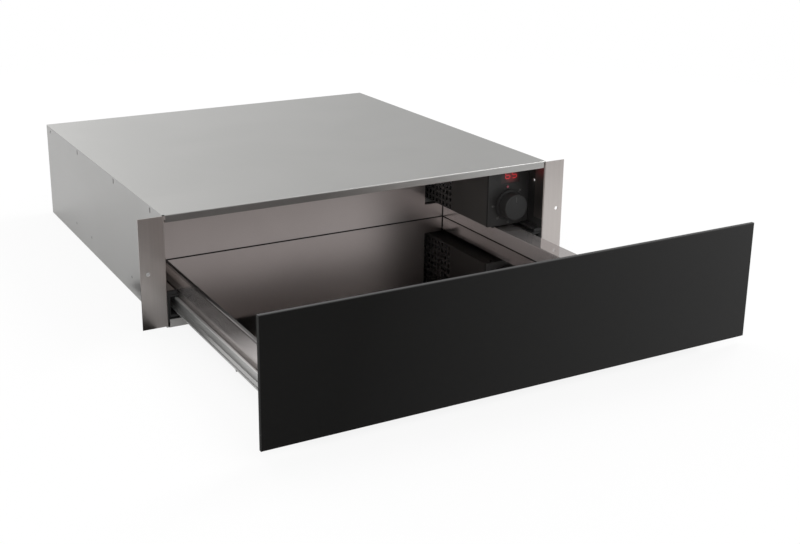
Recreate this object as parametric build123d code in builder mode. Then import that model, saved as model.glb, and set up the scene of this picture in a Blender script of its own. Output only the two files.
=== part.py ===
from build123d import *
import os

# A built-in warming drawer, drawn out as for loading. Millimetres, +Z up, +X to the right as the
# user stands before it, +Y to the back. The origin is the middle of the housing's underside.

os.makedirs("parts", exist_ok=True)

# ---------------------------------------------------------------- driving dimensions
# housing
housing_width = 536.0
housing_depth = 530.0
housing_height = 138.0
housing_sheet = 0.8
panel_return = 12.8          # fold that stiffens a side panel along its top
back_return = 5.5            # folds of the back panel
lip_height = 9.4             # folded front edge of the top cover
lip_return = 7.8
lip_side_gap = 3.4           # from the lip's end to the side panel's outer face
base_lip_height = 10.3
base_edge_height = 6.0
sheet_bend = 1.3

# mounting flanges
flange_reach = 29.6          # how far a flange stands out beside the housing
flange_bottom = 2.4
flange_top_gap = 1.0         # below the housing's top
flange_sheet = 1.0
flange_bend = 1.8
flange_leg = 20.0
flange_leg_bottom = 56.0
flange_hole_diameter = 5.0
flange_hole_offset = 20.4    # from the housing's side to the hole
flange_hole_height = 70.0

# fixings in the side panels, measured back from the front plane and up from the underside
tab_places = (45.0, 190.0, 360.0)
tab_drop = 5.8               # from the housing's top
tab_width = 13.0
slot_width = 3.0
slot_length = 6.4
rivet_places = (131.4, 311.5, 388.0)
rivet_height = 21.5
rivet_diameter = 4.0
panel_screw_diameter = 3.6
panel_screw_inset = 21.0     # from the back plane
panel_screw_drop = 7.0       # from the housing's top

# drawer
shown_opening = 333.2        # how far the drawer stands out in the modelled pose
closed_gap = 4.0             # between the glass and the flanges with the drawer shut
glass_width = 595.0
glass_height = 134.0
glass_thickness = 4.7
glass_bottom = 8.2
glass_chamfer = 0.6
drawer_width = 500.0
rear_gap = 6.0               # from the rear wall's fold to the back panel with the drawer shut
drawer_bottom = 12.0
drawer_sheet = 0.8
floor_top = 19.0
floor_seam = 1.2             # open seam round the floor plate
left_wall_top = 63.5
left_wall_width = 5.0
right_wall_top = 39.7
right_wall_width = 29.0
rear_wall_gap = 16.9         # under the top cover
rear_return = 8.0
notch_width = 59.6           # cut-out of the rear wall that clears the control box
notch_height = 41.5
carrier_depth = 14.4
carrier_lip_gap = 4.6        # under the cover's front lip
carrier_side_gap = 1.0
bearer_width = 34.0
bearer_count = 3

# telescopic rails: u runs from the housing's side towards the drawer, v up from the rail's middle
rail_height = 26.0
drawer_rail_height = 19.3
fixed_sheet = 1.2
middle_sheet = 1.0
drawer_rail_sheet = 1.0
cage_sheet = 0.5
web_gap = 0.6                # between a ball cage and the webs beside it
ball_diameter = 3.0
ball_play = 0.2
ball_pocket = 3.4
fixed_flange = 11.0
fixed_lip = 2.6
middle_lip = 2.4
drawer_rail_flange = 6.0
drawer_rail_lip = 2.6
race_width = 2.9             # flat track for the balls at the drawer rail's edge
race_rise = 3.2              # of that track above the rail's web
fixed_rail_front = 5.0       # behind the front plane
fixed_rail_back_gap = 10.0   # from the back plane
middle_rail_front = 17.0
middle_rail_back_gap = 6.4   # from the fixed rail's end with the drawer shut
window_length = 28.0         # lightening windows in the middle rail's web
window_width = 7.0
window_pitch = 78.0
cap_length = 16.0
guide_length = 4.0
guide_reach = 13.0
drawer_rail_front = 6.0      # behind the glass
drawer_rail_back_gap = 37.2  # from the back of the rear wall
outer_cage_front = 102.0
outer_cage_length = 216.0
outer_cage_u = 9.4
outer_ball_u = 6.9
outer_ball_count = 6
inner_cage_front = 46.0
inner_cage_length = 70.0
inner_ball_count = 3
rail_stop_place = 157.0      # behind the glass

# control box
box_left = 201.0             # X of its left face
box_bottom = 45.0
box_front = 35.0             # behind the front plane
box_back = 330.0
box_sheet = 1.0
fascia_thickness = 3.0
vent_pitch = 9.0
vent_hole = 5.0
vent_columns = 12
vent_top_gap = 9.7           # from the top row to the cover, at least
vent_front = 130.0           # first column, behind the front plane
vent_bottom = 50.5
knob_x = 234.5
knob_rise = 28.5             # from the box's bottom
knob_skirt_radius = 21.0
knob_grip_radius = 17.9
knob_depth = 19.0            # from the fascia to the knob's face
knob_skirt_depth = 3.4
knob_face_wall = 5.0         # from the face to the end of the shaft's hole
knob_fascia_gap = 0.5
shaft_diameter = 6.0
shaft_clearance = 0.05
bush_radius = 4.4
display_x = 236.0
display_rise = 67.0          # from the box's bottom
display_width = 30.0
display_height = 17.0
lamp_x = 232.5
lamp_rise = 53.6             # from the box's bottom
lamp_diameter = 4.0
board_width = 54.0
board_height = 34.0
board_drop = 7.0             # from the display's middle to the board's middle
board_post_inset = 4.0

# fan heater
fan_plate_x = 232.0
fan_plate_width = 116.0
fan_foot_inset = 8.0
impeller_radius = 31.0
impeller_width = 21.0
impeller_gap = 3.0           # to the fan plate
blade_count = 12
blade_sheet = 0.8
motor_radius = 23.0
motor_length = 24.0
motor_boss = 5.0             # from the fan plate to the laminated stack
stack_thickness = 14.0
motor_shaft_diameter = 4.0
element_radius = 36.0
element_tube = 5.0
element_sides = 6
cutout_across = 42.0         # from the fan's axis towards the back
cutout_up = 30.0

# push-to-open latch
latch_width = 14.6
latch_bottom = 49.0
latch_height = 14.0
latch_length = 50.0
plunger_diameter = 8.0
plunger_reach = 7.2          # the tip stands out of the latch body by this much
plunger_length = 34.0
plunger_clearance = 0.08
latch_striker_gap = 0.5      # from the shut drawer's striker to the resting plunger
striker_inset = 70.0         # from the drawer's rear wall to the striker's back
striker_length = 12.0
striker_reach = 11.5

# supply connection at the back
gland_x = 226.0
gland_z = 104.0
gland_bore_radius = 3.8
gland_nut_radius = 11.0
gland_thread_radius = 8.0
gland_nut_length = 8.0
gland_collar_length = 4.0

# ---------------------------------------------------------------- derived places
front_y = -housing_depth / 2
back_y = housing_depth / 2
half_width = housing_width / 2
side_inner_x = half_width - housing_sheet
cover_underside = housing_height - housing_sheet
back_inner_y = back_y - housing_sheet
panel_front_y = front_y + flange_bend
tab_height = housing_height - tab_drop
panel_screw_height = housing_height - panel_screw_drop
flange_top = housing_height - flange_top_gap

carrier_top = housing_height - lip_height - carrier_lip_gap
rear_wall_top = cover_underside - rear_wall_gap
tub_depth = housing_depth - housing_sheet - rear_gap - rear_return + closed_gap
glass_front_y = front_y - closed_gap - shown_opening - glass_thickness
glass_back_y = glass_front_y + glass_thickness
half_drawer = drawer_width / 2
inner_front_y = glass_back_y + carrier_depth
wall_front_y = inner_front_y + drawer_sheet
rear_inner_y = glass_back_y + tub_depth - drawer_sheet
pan_top = drawer_bottom + drawer_sheet
left_inner_x = -half_drawer + left_wall_width
right_inner_x = half_drawer - right_wall_width
notch_x = half_drawer - notch_width

fixed_rail_length = housing_depth - fixed_rail_front - fixed_rail_back_gap
middle_rail_length = (fixed_rail_front + fixed_rail_length - middle_rail_back_gap
                      - shown_opening / 2 - middle_rail_front)
drawer_rail_length = tub_depth - drawer_rail_front - drawer_rail_back_gap
rail_x = -side_inner_x
rail_gap = side_inner_x - half_drawer
drawer_rail_half = drawer_rail_height / 2
middle_inner_half = drawer_rail_half + ball_diameter + 2 * ball_play
middle_half = middle_inner_half + middle_sheet
fixed_inner_half = middle_half + ball_diameter + 2 * ball_play
fixed_half = fixed_inner_half + fixed_sheet
outer_cage_web = fixed_sheet + web_gap
middle_web = outer_cage_web + cage_sheet + web_gap
inner_cage_web = middle_web + middle_sheet + web_gap
drawer_rail_web = rail_gap - drawer_rail_sheet
middle_edge = drawer_rail_web - web_gap
drawer_rail_edge = rail_gap - drawer_rail_flange
race_edge = drawer_rail_edge + race_width
inner_ball_u = (drawer_rail_edge + middle_edge - middle_sheet) / 2
inner_cage_edge = middle_edge - middle_sheet - 0.4
outer_ball_v = middle_half + ball_play + ball_diameter / 2
inner_ball_v = drawer_rail_half + ball_play + ball_diameter / 2

box_front_y = front_y + box_front
box_back_y = front_y + box_back
cover_front_y = box_front_y + fascia_thickness
knob_z = box_bottom + knob_rise
lamp_z = box_bottom + lamp_rise
display_z = box_bottom + display_rise
box_right = rail_x * -1 - fixed_flange - 0.8
vent_rows = int((cover_underside - vent_top_gap - vent_bottom) / vent_pitch) + 1
vent_middle_y = front_y + vent_front + vent_pitch * (vent_columns - 1) / 2
vent_middle_z = vent_bottom + vent_pitch * (vent_rows - 1) / 2


# ---------------------------------------------------------------- drawing helpers
def across(y):
    """Plane that cuts the appliance from side to side: local x is X and local y is Z."""
    return Plane(origin=(0, y, 0), x_dir=(1, 0, 0), z_dir=(0, -1, 0))


def along(x):
    """Plane that cuts the appliance from front to back: local x is Y and local y is Z."""
    return Plane(origin=(x, 0, 0), x_dir=(0, 1, 0), z_dir=(1, 0, 0))


def rail_plane(y):
    """Section plane of the left rails: local x is u and local y is v."""
    return Plane(origin=(rail_x, y, rail_height), x_dir=(1, 0, 0), z_dir=(0, -1, 0))


def folded_section(points, sheet, bend, side=Side.LEFT):
    """Section of folded sheet: the path is its outer face and the sheet lies on one side of it."""
    with BuildLine() as outline:
        FilletPolyline(*points, radius=bend)
        offset(amount=sheet, side=side)
    make_face(outline.edges())


def creased_section(points, sheet, side=Side.LEFT):
    """Section of sheet with sharp folds, for rolled rails and small stampings."""
    with BuildLine() as outline:
        Polyline(*points)
        offset(amount=sheet, side=side, kind=Kind.INTERSECTION)
    make_face(outline.edges())


def block(low, high, mode=Mode.ADD):
    """A straight-sided piece between two corners."""
    corner = Vector(*low)
    span = Vector(*high) - corner
    with Locations(corner):
        Box(span.X, span.Y, span.Z, align=Align.MIN, mode=mode)


def save(builder, name):
    builder.part.label = name
    export_step(builder.part, f"parts/{name}.step")


# ---------------------------------------------------------------- housing
bead_length = 400.0
bead_width = 12.0
bead_height = 2.4
bead_spacing = 150.0
air_slot_length = 30.0
air_slot_width = 4.0
air_slot_count = 9

with BuildPart() as housing_base:
    with BuildSketch(across(panel_front_y)):
        folded_section(
            [(-side_inner_x, base_edge_height), (-side_inner_x, 0),
             (side_inner_x, 0), (side_inner_x, base_edge_height)],
            housing_sheet, sheet_bend)
    extrude(amount=-(back_inner_y - panel_front_y))
    with BuildSketch(along(0)):
        folded_section(
            [(front_y, base_lip_height), (front_y, 0), (front_y + 20, 0)],
            housing_sheet, sheet_bend)
    extrude(amount=half_width - lip_side_gap, both=True)
    with BuildSketch(Plane.XY.offset(housing_sheet)):
        with GridLocations(0, bead_spacing, 1, 3):
            Rectangle(bead_length, bead_width)
    extrude(amount=bead_height, taper=30)
    with BuildSketch(Plane.XY):
        with GridLocations(0, bead_spacing, 1, 3):
            Rectangle(bead_length - housing_sheet, bead_width - housing_sheet)
    extrude(amount=bead_height, taper=30, mode=Mode.SUBTRACT)
    with BuildSketch(Plane.XY):
        with Locations((box_right - air_slot_length, 0)):
            with GridLocations(0, 3 * air_slot_width, 1, air_slot_count):
                Rectangle(air_slot_length, air_slot_width)
    extrude(amount=housing_sheet, mode=Mode.SUBTRACT)
save(housing_base, "housing_base")

with BuildPart() as left_side_panel:
    with BuildSketch(across(panel_front_y)):
        folded_section(
            [(-half_width + panel_return, cover_underside), (-half_width, cover_underside),
             (-half_width, 0)],
            housing_sheet, sheet_bend)
    extrude(amount=-(back_y - panel_front_y))
    with BuildSketch(along(-half_width)):
        for place in tab_places:
            with Locations((front_y + place, tab_height)):
                Rectangle(slot_width, slot_length)
        with Locations((back_y - panel_screw_inset, panel_screw_height)):
            Circle(panel_screw_diameter / 2)
        for place in rivet_places:
            with Locations((front_y + place, rivet_height)):
                Circle(rivet_diameter / 2)
    extrude(amount=housing_sheet, mode=Mode.SUBTRACT)
    # the top fold ends before the back panel
    block((-side_inner_x, back_inner_y, cover_underside - 2 * housing_sheet),
          (-half_width + panel_return, back_y, cover_underside), mode=Mode.SUBTRACT)
    # and is cut away where the cover's tabs hang down inside the panel
    for place in tab_places:
        block((-side_inner_x, front_y + place - tab_width, cover_underside - 2),
              (-side_inner_x + 2 * housing_sheet, front_y + place + tab_width, cover_underside),
              mode=Mode.SUBTRACT)
save(left_side_panel, "left_side_panel")

with BuildPart() as right_side_panel:
    mirror(left_side_panel.part, about=Plane.YZ)
save(right_side_panel, "right_side_panel")

with BuildPart() as top_cover:
    with BuildSketch(along(0)):
        folded_section(
            [(front_y + lip_return, housing_height - lip_height), (front_y, housing_height - lip_height),
             (front_y, housing_height), (back_y, housing_height)],
            housing_sheet, sheet_bend, Side.RIGHT)
    extrude(amount=half_width, both=True)
    # the lip stops short of the flanges
    for sign in (-1, 1):
        with BuildSketch(across(front_y - 1)):
            with Locations((sign * (half_width - lip_side_gap / 2), cover_underside - lip_height)):
                Rectangle(lip_side_gap, 2 * lip_height)
        extrude(amount=-(lip_return + 2), mode=Mode.SUBTRACT)
        for place in tab_places:
            with BuildSketch(along(sign * (side_inner_x - housing_sheet / 2))):
                with Locations((front_y + place, cover_underside)):
                    Trapezoid(tab_width, 9, 75, rotation=180, align=(Align.CENTER, Align.MIN))
            extrude(amount=housing_sheet / 2, both=True)
save(top_cover, "top_cover")

vent_slot_length = 90.0
vent_slot_width = 4.0
vent_slot_pitch = 10.0
vent_slot_count = 7
vent_group_offset = 118.0
vent_group_height = 84.0
with BuildPart() as back_panel:
    with BuildSketch(along(0)):
        folded_section(
            [(back_y - back_return, cover_underside), (back_y, cover_underside), (back_y, 0)],
            housing_sheet, sheet_bend, Side.RIGHT)
    extrude(amount=side_inner_x, both=True)
    # room for the side panels' top folds
    for sign in (-1, 1):
        with BuildSketch(across(back_y - back_return - 1)):
            with Locations((sign * side_inner_x, cover_underside)):
                Rectangle(2 * panel_return + 2, 4 * housing_sheet)
        extrude(amount=-(back_return + 1 - housing_sheet), mode=Mode.SUBTRACT)
    with BuildSketch(across(back_y)):
        for sign in (-1, 1):
            with Locations((sign * vent_group_offset, vent_group_height)):
                with GridLocations(0, vent_slot_pitch, 1, vent_slot_count):
                    Rectangle(vent_slot_length, vent_slot_width)
        with Locations((gland_x, gland_z)):
            Circle(gland_thread_radius)
    extrude(amount=housing_sheet, mode=Mode.SUBTRACT)
    # side folds, riveted to the side panels
    for sign in (-1, 1):
        with BuildSketch(Plane.XY.offset(58)):
            with Locations((sign * (side_inner_x - housing_sheet / 2), back_inner_y)):
                Rectangle(housing_sheet, back_return, align=(Align.CENTER, Align.MAX))
        extrude(amount=70)
save(back_panel, "back_panel")

with BuildPart() as left_mounting_flange:
    with BuildSketch(Plane.XY.offset(flange_bottom)):
        folded_section(
            [(-half_width - flange_reach, front_y), (-side_inner_x + flange_sheet, front_y),
             (-side_inner_x + flange_sheet, front_y + flange_leg)],
            flange_sheet, flange_bend)
    extrude(amount=flange_top - flange_bottom)
    # the leg stands above the rail and below the side panel's top fold
    with BuildSketch(along(-side_inner_x)):
        with Locations((front_y + flange_leg, flange_bottom)):
            Rectangle(flange_leg - flange_sheet, flange_leg_bottom - flange_bottom,
                      align=(Align.MAX, Align.MIN))
        with Locations((front_y + flange_leg, flange_top)):
            Rectangle(flange_leg - flange_sheet, 2.2, align=(Align.MAX, Align.MAX))
    extrude(amount=flange_sheet + 1, mode=Mode.SUBTRACT)
    with BuildSketch(across(front_y)):
        with Locations((-half_width - flange_hole_offset, flange_hole_height)):
            Circle(flange_hole_diameter / 2)
    extrude(amount=-flange_sheet, mode=Mode.SUBTRACT)
save(left_mounting_flange, "left_mounting_flange")

with BuildPart() as right_mounting_flange:
    mirror(left_mounting_flange.part, about=Plane.YZ)
save(right_mounting_flange, "right_mounting_flange")

with BuildPart() as left_rivets:
    for place in rivet_places:
        with BuildSketch(Plane(origin=(-half_width, front_y + place, rivet_height), z_dir=(1, 0, 0))):
            Circle(rivet_diameter / 2)
        extrude(amount=housing_sheet + fixed_sheet)
with BuildPart() as rail_rivets:
    add(left_rivets.part)
    mirror(left_rivets.part, about=Plane.YZ)
save(rail_rivets, "rail_rivets")

# ---------------------------------------------------------------- rails
with BuildPart() as left_fixed_rail:
    with BuildSketch(rail_plane(front_y + fixed_rail_front)):
        creased_section(
            [(fixed_flange, fixed_inner_half - fixed_lip + fixed_sheet), (fixed_flange, fixed_half),
             (0, fixed_half), (0, -fixed_half), (fixed_flange, -fixed_half),
             (fixed_flange, -fixed_inner_half + fixed_lip - fixed_sheet)],
            fixed_sheet)
    extrude(amount=-fixed_rail_length)
    with BuildSketch(along(rail_x)):
        for place in rivet_places:
            with Locations((front_y + place, rivet_height)):
                Circle(rivet_diameter / 2)
    extrude(amount=fixed_sheet, mode=Mode.SUBTRACT)
    # a tongue folded in at the back stops the middle rail
    with BuildSketch(rail_plane(front_y + fixed_rail_front + fixed_rail_length - fixed_sheet)):
        with Locations((fixed_sheet, 0)):
            Rectangle(6, 14, align=(Align.MIN, Align.CENTER))
    extrude(amount=-fixed_sheet)
save(left_fixed_rail, "left_fixed_rail")

with BuildPart() as left_rail_guide:
    with BuildSketch(rail_plane(front_y + fixed_rail_front)):
        with BuildLine():
            Polyline(
                (guide_reach, fixed_half), (0, fixed_half), (0, -fixed_half), (guide_reach, -fixed_half),
                (guide_reach, -middle_half - web_gap), (middle_web - web_gap, -middle_half - web_gap),
                (middle_web - web_gap, middle_half + web_gap), (guide_reach, middle_half + web_gap),
                close=True)
        make_face()
    extrude(amount=guide_length)
save(left_rail_guide, "left_rail_guide")

with BuildPart() as left_middle_rail:
    with BuildSketch(rail_plane(front_y + middle_rail_front)):
        creased_section(
            [(middle_edge, middle_half - middle_lip), (middle_edge, middle_half),
             (middle_web, middle_half), (middle_web, -middle_half),
             (middle_edge, -middle_half), (middle_edge, -middle_half + middle_lip)],
            middle_sheet)
    extrude(amount=-middle_rail_length)
    with BuildSketch(along(rail_x + middle_web)):
        with Locations((front_y + middle_rail_front + middle_rail_length / 2, rail_height)):
            with GridLocations(window_pitch, 0, 4, 1):
                Rectangle(window_length, window_width)
    extrude(amount=middle_sheet, mode=Mode.SUBTRACT)
save(left_middle_rail, "left_middle_rail")

cap_web = 1.9
cap_flange = 3.2
with BuildPart() as left_rail_cap:
    with BuildSketch(rail_plane(front_y + middle_rail_front)):
        with BuildLine():
            Polyline(
                (middle_edge, middle_half), (middle_web, middle_half),
                (middle_web, -middle_half), (middle_edge, -middle_half),
                (middle_edge, -middle_half + cap_flange),
                (middle_web + cap_web, -middle_half + cap_flange),
                (middle_web + cap_web, middle_half - cap_flange),
                (middle_edge, middle_half - cap_flange),
                close=True)
        make_face()
    extrude(amount=cap_length)
    with BuildSketch(along(rail_x + middle_web)):
        with Locations((front_y + middle_rail_front - cap_length / 2, rail_height)):
            Rectangle(cap_length / 2, 5)
    extrude(amount=cap_web, mode=Mode.SUBTRACT)
    chamfer(left_rail_cap.faces().sort_by(Axis.Y)[0].outer_wire().edges().filter_by(
        lambda edge: edge.length > 8), length=0.8)
save(left_rail_cap, "left_rail_cap")

with BuildPart() as left_drawer_rail:
    with BuildSketch(rail_plane(glass_back_y + drawer_rail_front)):
        folded_section(
            [(drawer_rail_edge, drawer_rail_half - drawer_rail_lip), (drawer_rail_edge, drawer_rail_half),
             (race_edge, drawer_rail_half), (rail_gap, drawer_rail_half - race_rise),
             (rail_gap, -drawer_rail_half + race_rise), (race_edge, -drawer_rail_half),
             (drawer_rail_edge, -drawer_rail_half), (drawer_rail_edge, -drawer_rail_half + drawer_rail_lip)],
            drawer_rail_sheet, 1.1, Side.RIGHT)
    extrude(amount=-drawer_rail_length)
    # a tongue under the rail stops the middle rail's cap
    with BuildSketch(rail_plane(glass_back_y + rail_stop_place)):
        with Locations(((drawer_rail_edge + race_edge) / 2, drawer_rail_sheet / 2 - drawer_rail_half)):
            Trapezoid(race_width, 2.5, 75, rotation=180, align=(Align.CENTER, Align.MIN))
    extrude(amount=-drawer_rail_sheet)
save(left_drawer_rail, "left_drawer_rail")


# a ball in as few flat faces as still roll round: a cube with every edge and corner cut back
with BuildPart() as ball_blank:
    Box(ball_diameter, ball_diameter, ball_diameter)
    chamfer(ball_blank.edges(), ball_diameter * 0.29)
ball = ball_blank.part


def rail_balls(front, length, count, u, v):
    """Two rows of balls, above and below the rail's middle."""
    step = length / count
    for index in range(count):
        for sign in (-1, 1):
            with Locations((rail_x + u, front + step * (index + 0.5), rail_height + sign * v)):
                add(ball)


def cage(front, length, web, edge, count, u, v):
    """A thin channel with a pocket round each ball and windows in its web."""
    with BuildSketch(rail_plane(front)) as section:
        creased_section(
            [(edge, v + cage_sheet / 2), (web, v + cage_sheet / 2),
             (web, -v - cage_sheet / 2), (edge, -v - cage_sheet / 2)],
            cage_sheet)
    extrude(section.sketch, amount=-length)
    step = length / count
    with BuildSketch(Plane.XY.offset(rail_height - v - 1)) as pockets:
        with Locations((rail_x + u, front + length / 2)):
            with GridLocations(0, step, 1, count):
                Rectangle(ball_pocket, ball_pocket)
    extrude(pockets.sketch, amount=2 * v + 2, mode=Mode.SUBTRACT)
    with BuildSketch(along(rail_x + web)) as windows:
        with Locations((front + length / 2, rail_height)):
            with GridLocations(step, 0, count - 1, 1):
                Rectangle(step - 8, v)
    extrude(windows.sketch, amount=cage_sheet, mode=Mode.SUBTRACT)


with BuildPart() as left_outer_cage:
    cage(front_y + outer_cage_front, outer_cage_length, outer_cage_web, outer_cage_u,
         outer_ball_count, outer_ball_u, outer_ball_v)
save(left_outer_cage, "left_outer_cage")

with BuildPart() as left_outer_balls:
    rail_balls(front_y + outer_cage_front, outer_cage_length, outer_ball_count,
               outer_ball_u, outer_ball_v)
save(left_outer_balls, "left_outer_balls")

with BuildPart() as left_inner_cage:
    cage(front_y + inner_cage_front, inner_cage_length, inner_cage_web, inner_cage_edge,
         inner_ball_count, inner_ball_u, inner_ball_v)
save(left_inner_cage, "left_inner_cage")

with BuildPart() as left_inner_balls:
    rail_balls(front_y + inner_cage_front, inner_cage_length, inner_ball_count,
               inner_ball_u, inner_ball_v)
save(left_inner_balls, "left_inner_balls")

for name, left_piece in (
        ("fixed_rail", left_fixed_rail), ("rail_guide", left_rail_guide),
        ("middle_rail", left_middle_rail), ("rail_cap", left_rail_cap),
        ("drawer_rail", left_drawer_rail), ("outer_cage", left_outer_cage),
        ("outer_balls", left_outer_balls), ("inner_cage", left_inner_cage),
        ("inner_balls", left_inner_balls)):
    with BuildPart() as right_piece:
        mirror(left_piece.part, about=Plane.YZ)
    save(right_piece, f"right_{name}")

# ---------------------------------------------------------------- drawer
with BuildPart() as glass_front:
    with BuildSketch(across(glass_back_y)):
        with Locations((0, glass_bottom + glass_height / 2)):
            Rectangle(glass_width, glass_height)
    extrude(amount=glass_thickness)
    chamfer(glass_front.edges().filter_by(lambda edge: edge.length > 2 * glass_thickness), glass_chamfer)
save(glass_front, "glass_front")

carrier_width = drawer_width - 2 * carrier_side_gap
carrier_height = carrier_top - drawer_bottom
channel_pitch = 44.0
channel_width = 14.0
channel_inset = 30.0
with BuildPart() as front_carrier:
    with BuildSketch(across(inner_front_y)):
        with Locations((0, drawer_bottom + carrier_height / 2)):
            Rectangle(carrier_width, carrier_height)
    extrude(amount=carrier_depth)
    offset(amount=-drawer_sheet, openings=front_carrier.faces().sort_by(Axis.Y)[-1], kind=Kind.INTERSECTION)
    # embossed channels stiffen the plate behind the glass
    with BuildSketch(across(glass_back_y + drawer_sheet)):
        with Locations((0, drawer_bottom + carrier_height / 2)):
            with GridLocations(0, channel_pitch, 1, 2):
                Rectangle(carrier_width - 2 * channel_inset, channel_width)
    extrude(amount=-2.4, taper=35)
save(front_carrier, "front_carrier")

with BuildPart() as inner_front_wall:
    with BuildSketch(across(wall_front_y)):
        with Locations((0, drawer_bottom + carrier_height / 2)):
            Rectangle(drawer_width, carrier_height)
    extrude(amount=drawer_sheet)
save(inner_front_wall, "inner_front_wall")

with BuildPart() as drawer_left_wall:
    with BuildSketch(across(wall_front_y)):
        folded_section(
            [(-half_drawer, drawer_bottom), (-half_drawer, left_wall_top),
             (left_inner_x, left_wall_top), (left_inner_x, pan_top)],
            drawer_sheet, 1.2, Side.RIGHT)
    extrude(amount=-(rear_inner_y - wall_front_y))
save(drawer_left_wall, "drawer_left_wall")

with BuildPart() as drawer_right_wall:
    with BuildSketch(across(wall_front_y)):
        folded_section(
            [(right_inner_x, pan_top), (right_inner_x, right_wall_top),
             (half_drawer, right_wall_top), (half_drawer, drawer_bottom)],
            drawer_sheet, 1.2, Side.RIGHT)
    extrude(amount=-(rear_inner_y - wall_front_y))
save(drawer_right_wall, "drawer_right_wall")

with BuildPart() as drawer_rear_wall:
    with BuildSketch(along(-half_drawer)):
        folded_section(
            [(rear_inner_y + rear_return, rear_wall_top), (rear_inner_y, rear_wall_top),
             (rear_inner_y, drawer_bottom)],
            drawer_sheet, 1.2)
    extrude(amount=drawer_width - notch_width)
    with BuildSketch(along(notch_x)):
        folded_section(
            [(rear_inner_y + rear_return, notch_height), (rear_inner_y, notch_height),
             (rear_inner_y, drawer_bottom)],
            drawer_sheet, 1.2)
    extrude(amount=notch_width)
save(drawer_rear_wall, "drawer_rear_wall")

pan_slot_length = 400.0
pan_slot_width = 10.0
pan_slot_pitch = 96.0
pan_slot_count = 5
with BuildPart() as drawer_pan:
    block((-half_drawer + drawer_sheet, wall_front_y, drawer_bottom),
          (half_drawer - drawer_sheet, rear_inner_y, pan_top))
    with BuildSketch(Plane.XY.offset(drawer_bottom)):
        with Locations(((left_inner_x + right_inner_x) / 2, (wall_front_y + rear_inner_y) / 2)):
            with GridLocations(pan_slot_pitch, 0, pan_slot_count, 1):
                Rectangle(pan_slot_width, pan_slot_length)
    extrude(amount=drawer_sheet, mode=Mode.SUBTRACT)
save(drawer_pan, "drawer_pan")

with BuildPart() as floor_bearers:
    bearer_step = (rear_inner_y - wall_front_y) / bearer_count
    for index in range(bearer_count):
        middle_y = wall_front_y + bearer_step * (index + 0.5)
        with BuildSketch(along((left_inner_x + right_inner_x) / 2)):
            creased_section(
                [(middle_y - bearer_width / 2, pan_top + drawer_sheet),
                 (middle_y - bearer_width / 4, pan_top + drawer_sheet),
                 (middle_y - bearer_width / 4, floor_top - drawer_sheet),
                 (middle_y + bearer_width / 4, floor_top - drawer_sheet),
                 (middle_y + bearer_width / 4, pan_top + drawer_sheet),
                 (middle_y + bearer_width / 2, pan_top + drawer_sheet)],
                drawer_sheet, Side.RIGHT)
        extrude(amount=(right_inner_x - left_inner_x) / 2 - 4, both=True)
save(floor_bearers, "floor_bearers")

with BuildPart() as drawer_floor:
    block((left_inner_x + floor_seam, wall_front_y, floor_top - drawer_sheet),
          (right_inner_x - floor_seam, rear_inner_y - floor_seam, floor_top))
save(drawer_floor, "drawer_floor")

striker_back_y = rear_inner_y - striker_inset
with BuildPart() as latch_striker:
    with BuildSketch(Plane.XY.offset(latch_bottom)):
        with BuildLine():
            FilletPolyline(
                (-half_drawer, striker_back_y - striker_length - 16),
                (-half_drawer - 1.2, striker_back_y - striker_length - 16),
                (-half_drawer - 1.2, striker_back_y - striker_length),
                (-half_drawer - striker_reach, striker_back_y - striker_length),
                (-half_drawer - striker_reach, striker_back_y),
                (-half_drawer, striker_back_y),
                radius=0.5, close=True)
        make_face()
    extrude(amount=13)
save(latch_striker, "latch_striker")

# ---------------------------------------------------------------- control box
fascia_rail_step = rail_height + fixed_half + 1.2
fascia_right = side_inner_x - 0.4
with BuildPart() as control_cover:
    with BuildSketch(across(cover_front_y)):
        folded_section(
            [(box_left + 12, cover_underside), (box_left, cover_underside), (box_left, box_bottom),
             (box_right, box_bottom), (box_right, box_bottom + 4)],
            box_sheet, 1.5)
    extrude(amount=-(box_back_y - cover_front_y))
    with BuildSketch(across(box_back_y - box_sheet)):
        with BuildLine():
            Polyline(
                (box_left + box_sheet / 2, box_bottom + box_sheet / 2),
                (box_right - box_sheet / 2, box_bottom + box_sheet / 2),
                (box_right - box_sheet / 2, fascia_rail_step),
                (fascia_right, fascia_rail_step),
                (fascia_right, cover_underside - housing_sheet),
                (box_left + box_sheet / 2, cover_underside - housing_sheet), close=True)
        make_face()
    extrude(amount=-box_sheet)
    with BuildSketch(along(box_left)):
        with Locations((vent_middle_y, vent_middle_z)):
            with GridLocations(vent_pitch, vent_pitch, vent_columns, vent_rows):
                Rectangle(vent_hole, vent_hole)
    extrude(amount=box_sheet, mode=Mode.SUBTRACT)
    with BuildSketch(across(box_back_y)):
        with Locations((box_left + 24, 104)):
            Circle(6)
    extrude(amount=box_sheet, mode=Mode.SUBTRACT)
save(control_cover, "control_cover")

board_stand = 7.0
board_y = cover_front_y + board_stand
board_z = display_z - board_drop
with BuildPart() as control_fascia:
    with BuildSketch(across(cover_front_y)):
        with BuildLine():
            Polyline(
                (box_left, box_bottom), (box_right, box_bottom), (box_right, fascia_rail_step),
                (fascia_right, fascia_rail_step), (fascia_right, cover_underside - 1),
                (box_left, cover_underside - 1),
                close=True)
        make_face()
        with Locations((display_x, display_z)):
            Rectangle(display_width, display_height, mode=Mode.SUBTRACT)
        with Locations((lamp_x, lamp_z)):
            Circle(lamp_diameter / 2, mode=Mode.SUBTRACT)
        with Locations((knob_x, knob_z)):
            Circle(bush_radius, mode=Mode.SUBTRACT)
    extrude(amount=fascia_thickness)
    # posts behind the fascia carry the control board
    with BuildSketch(across(cover_front_y)):
        with Locations((display_x, board_z)):
            with GridLocations(board_width - 2 * board_post_inset, board_height - 2 * board_post_inset, 2, 2):
                Rectangle(board_post_inset, board_post_inset)
    extrude(amount=-board_stand)
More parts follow.
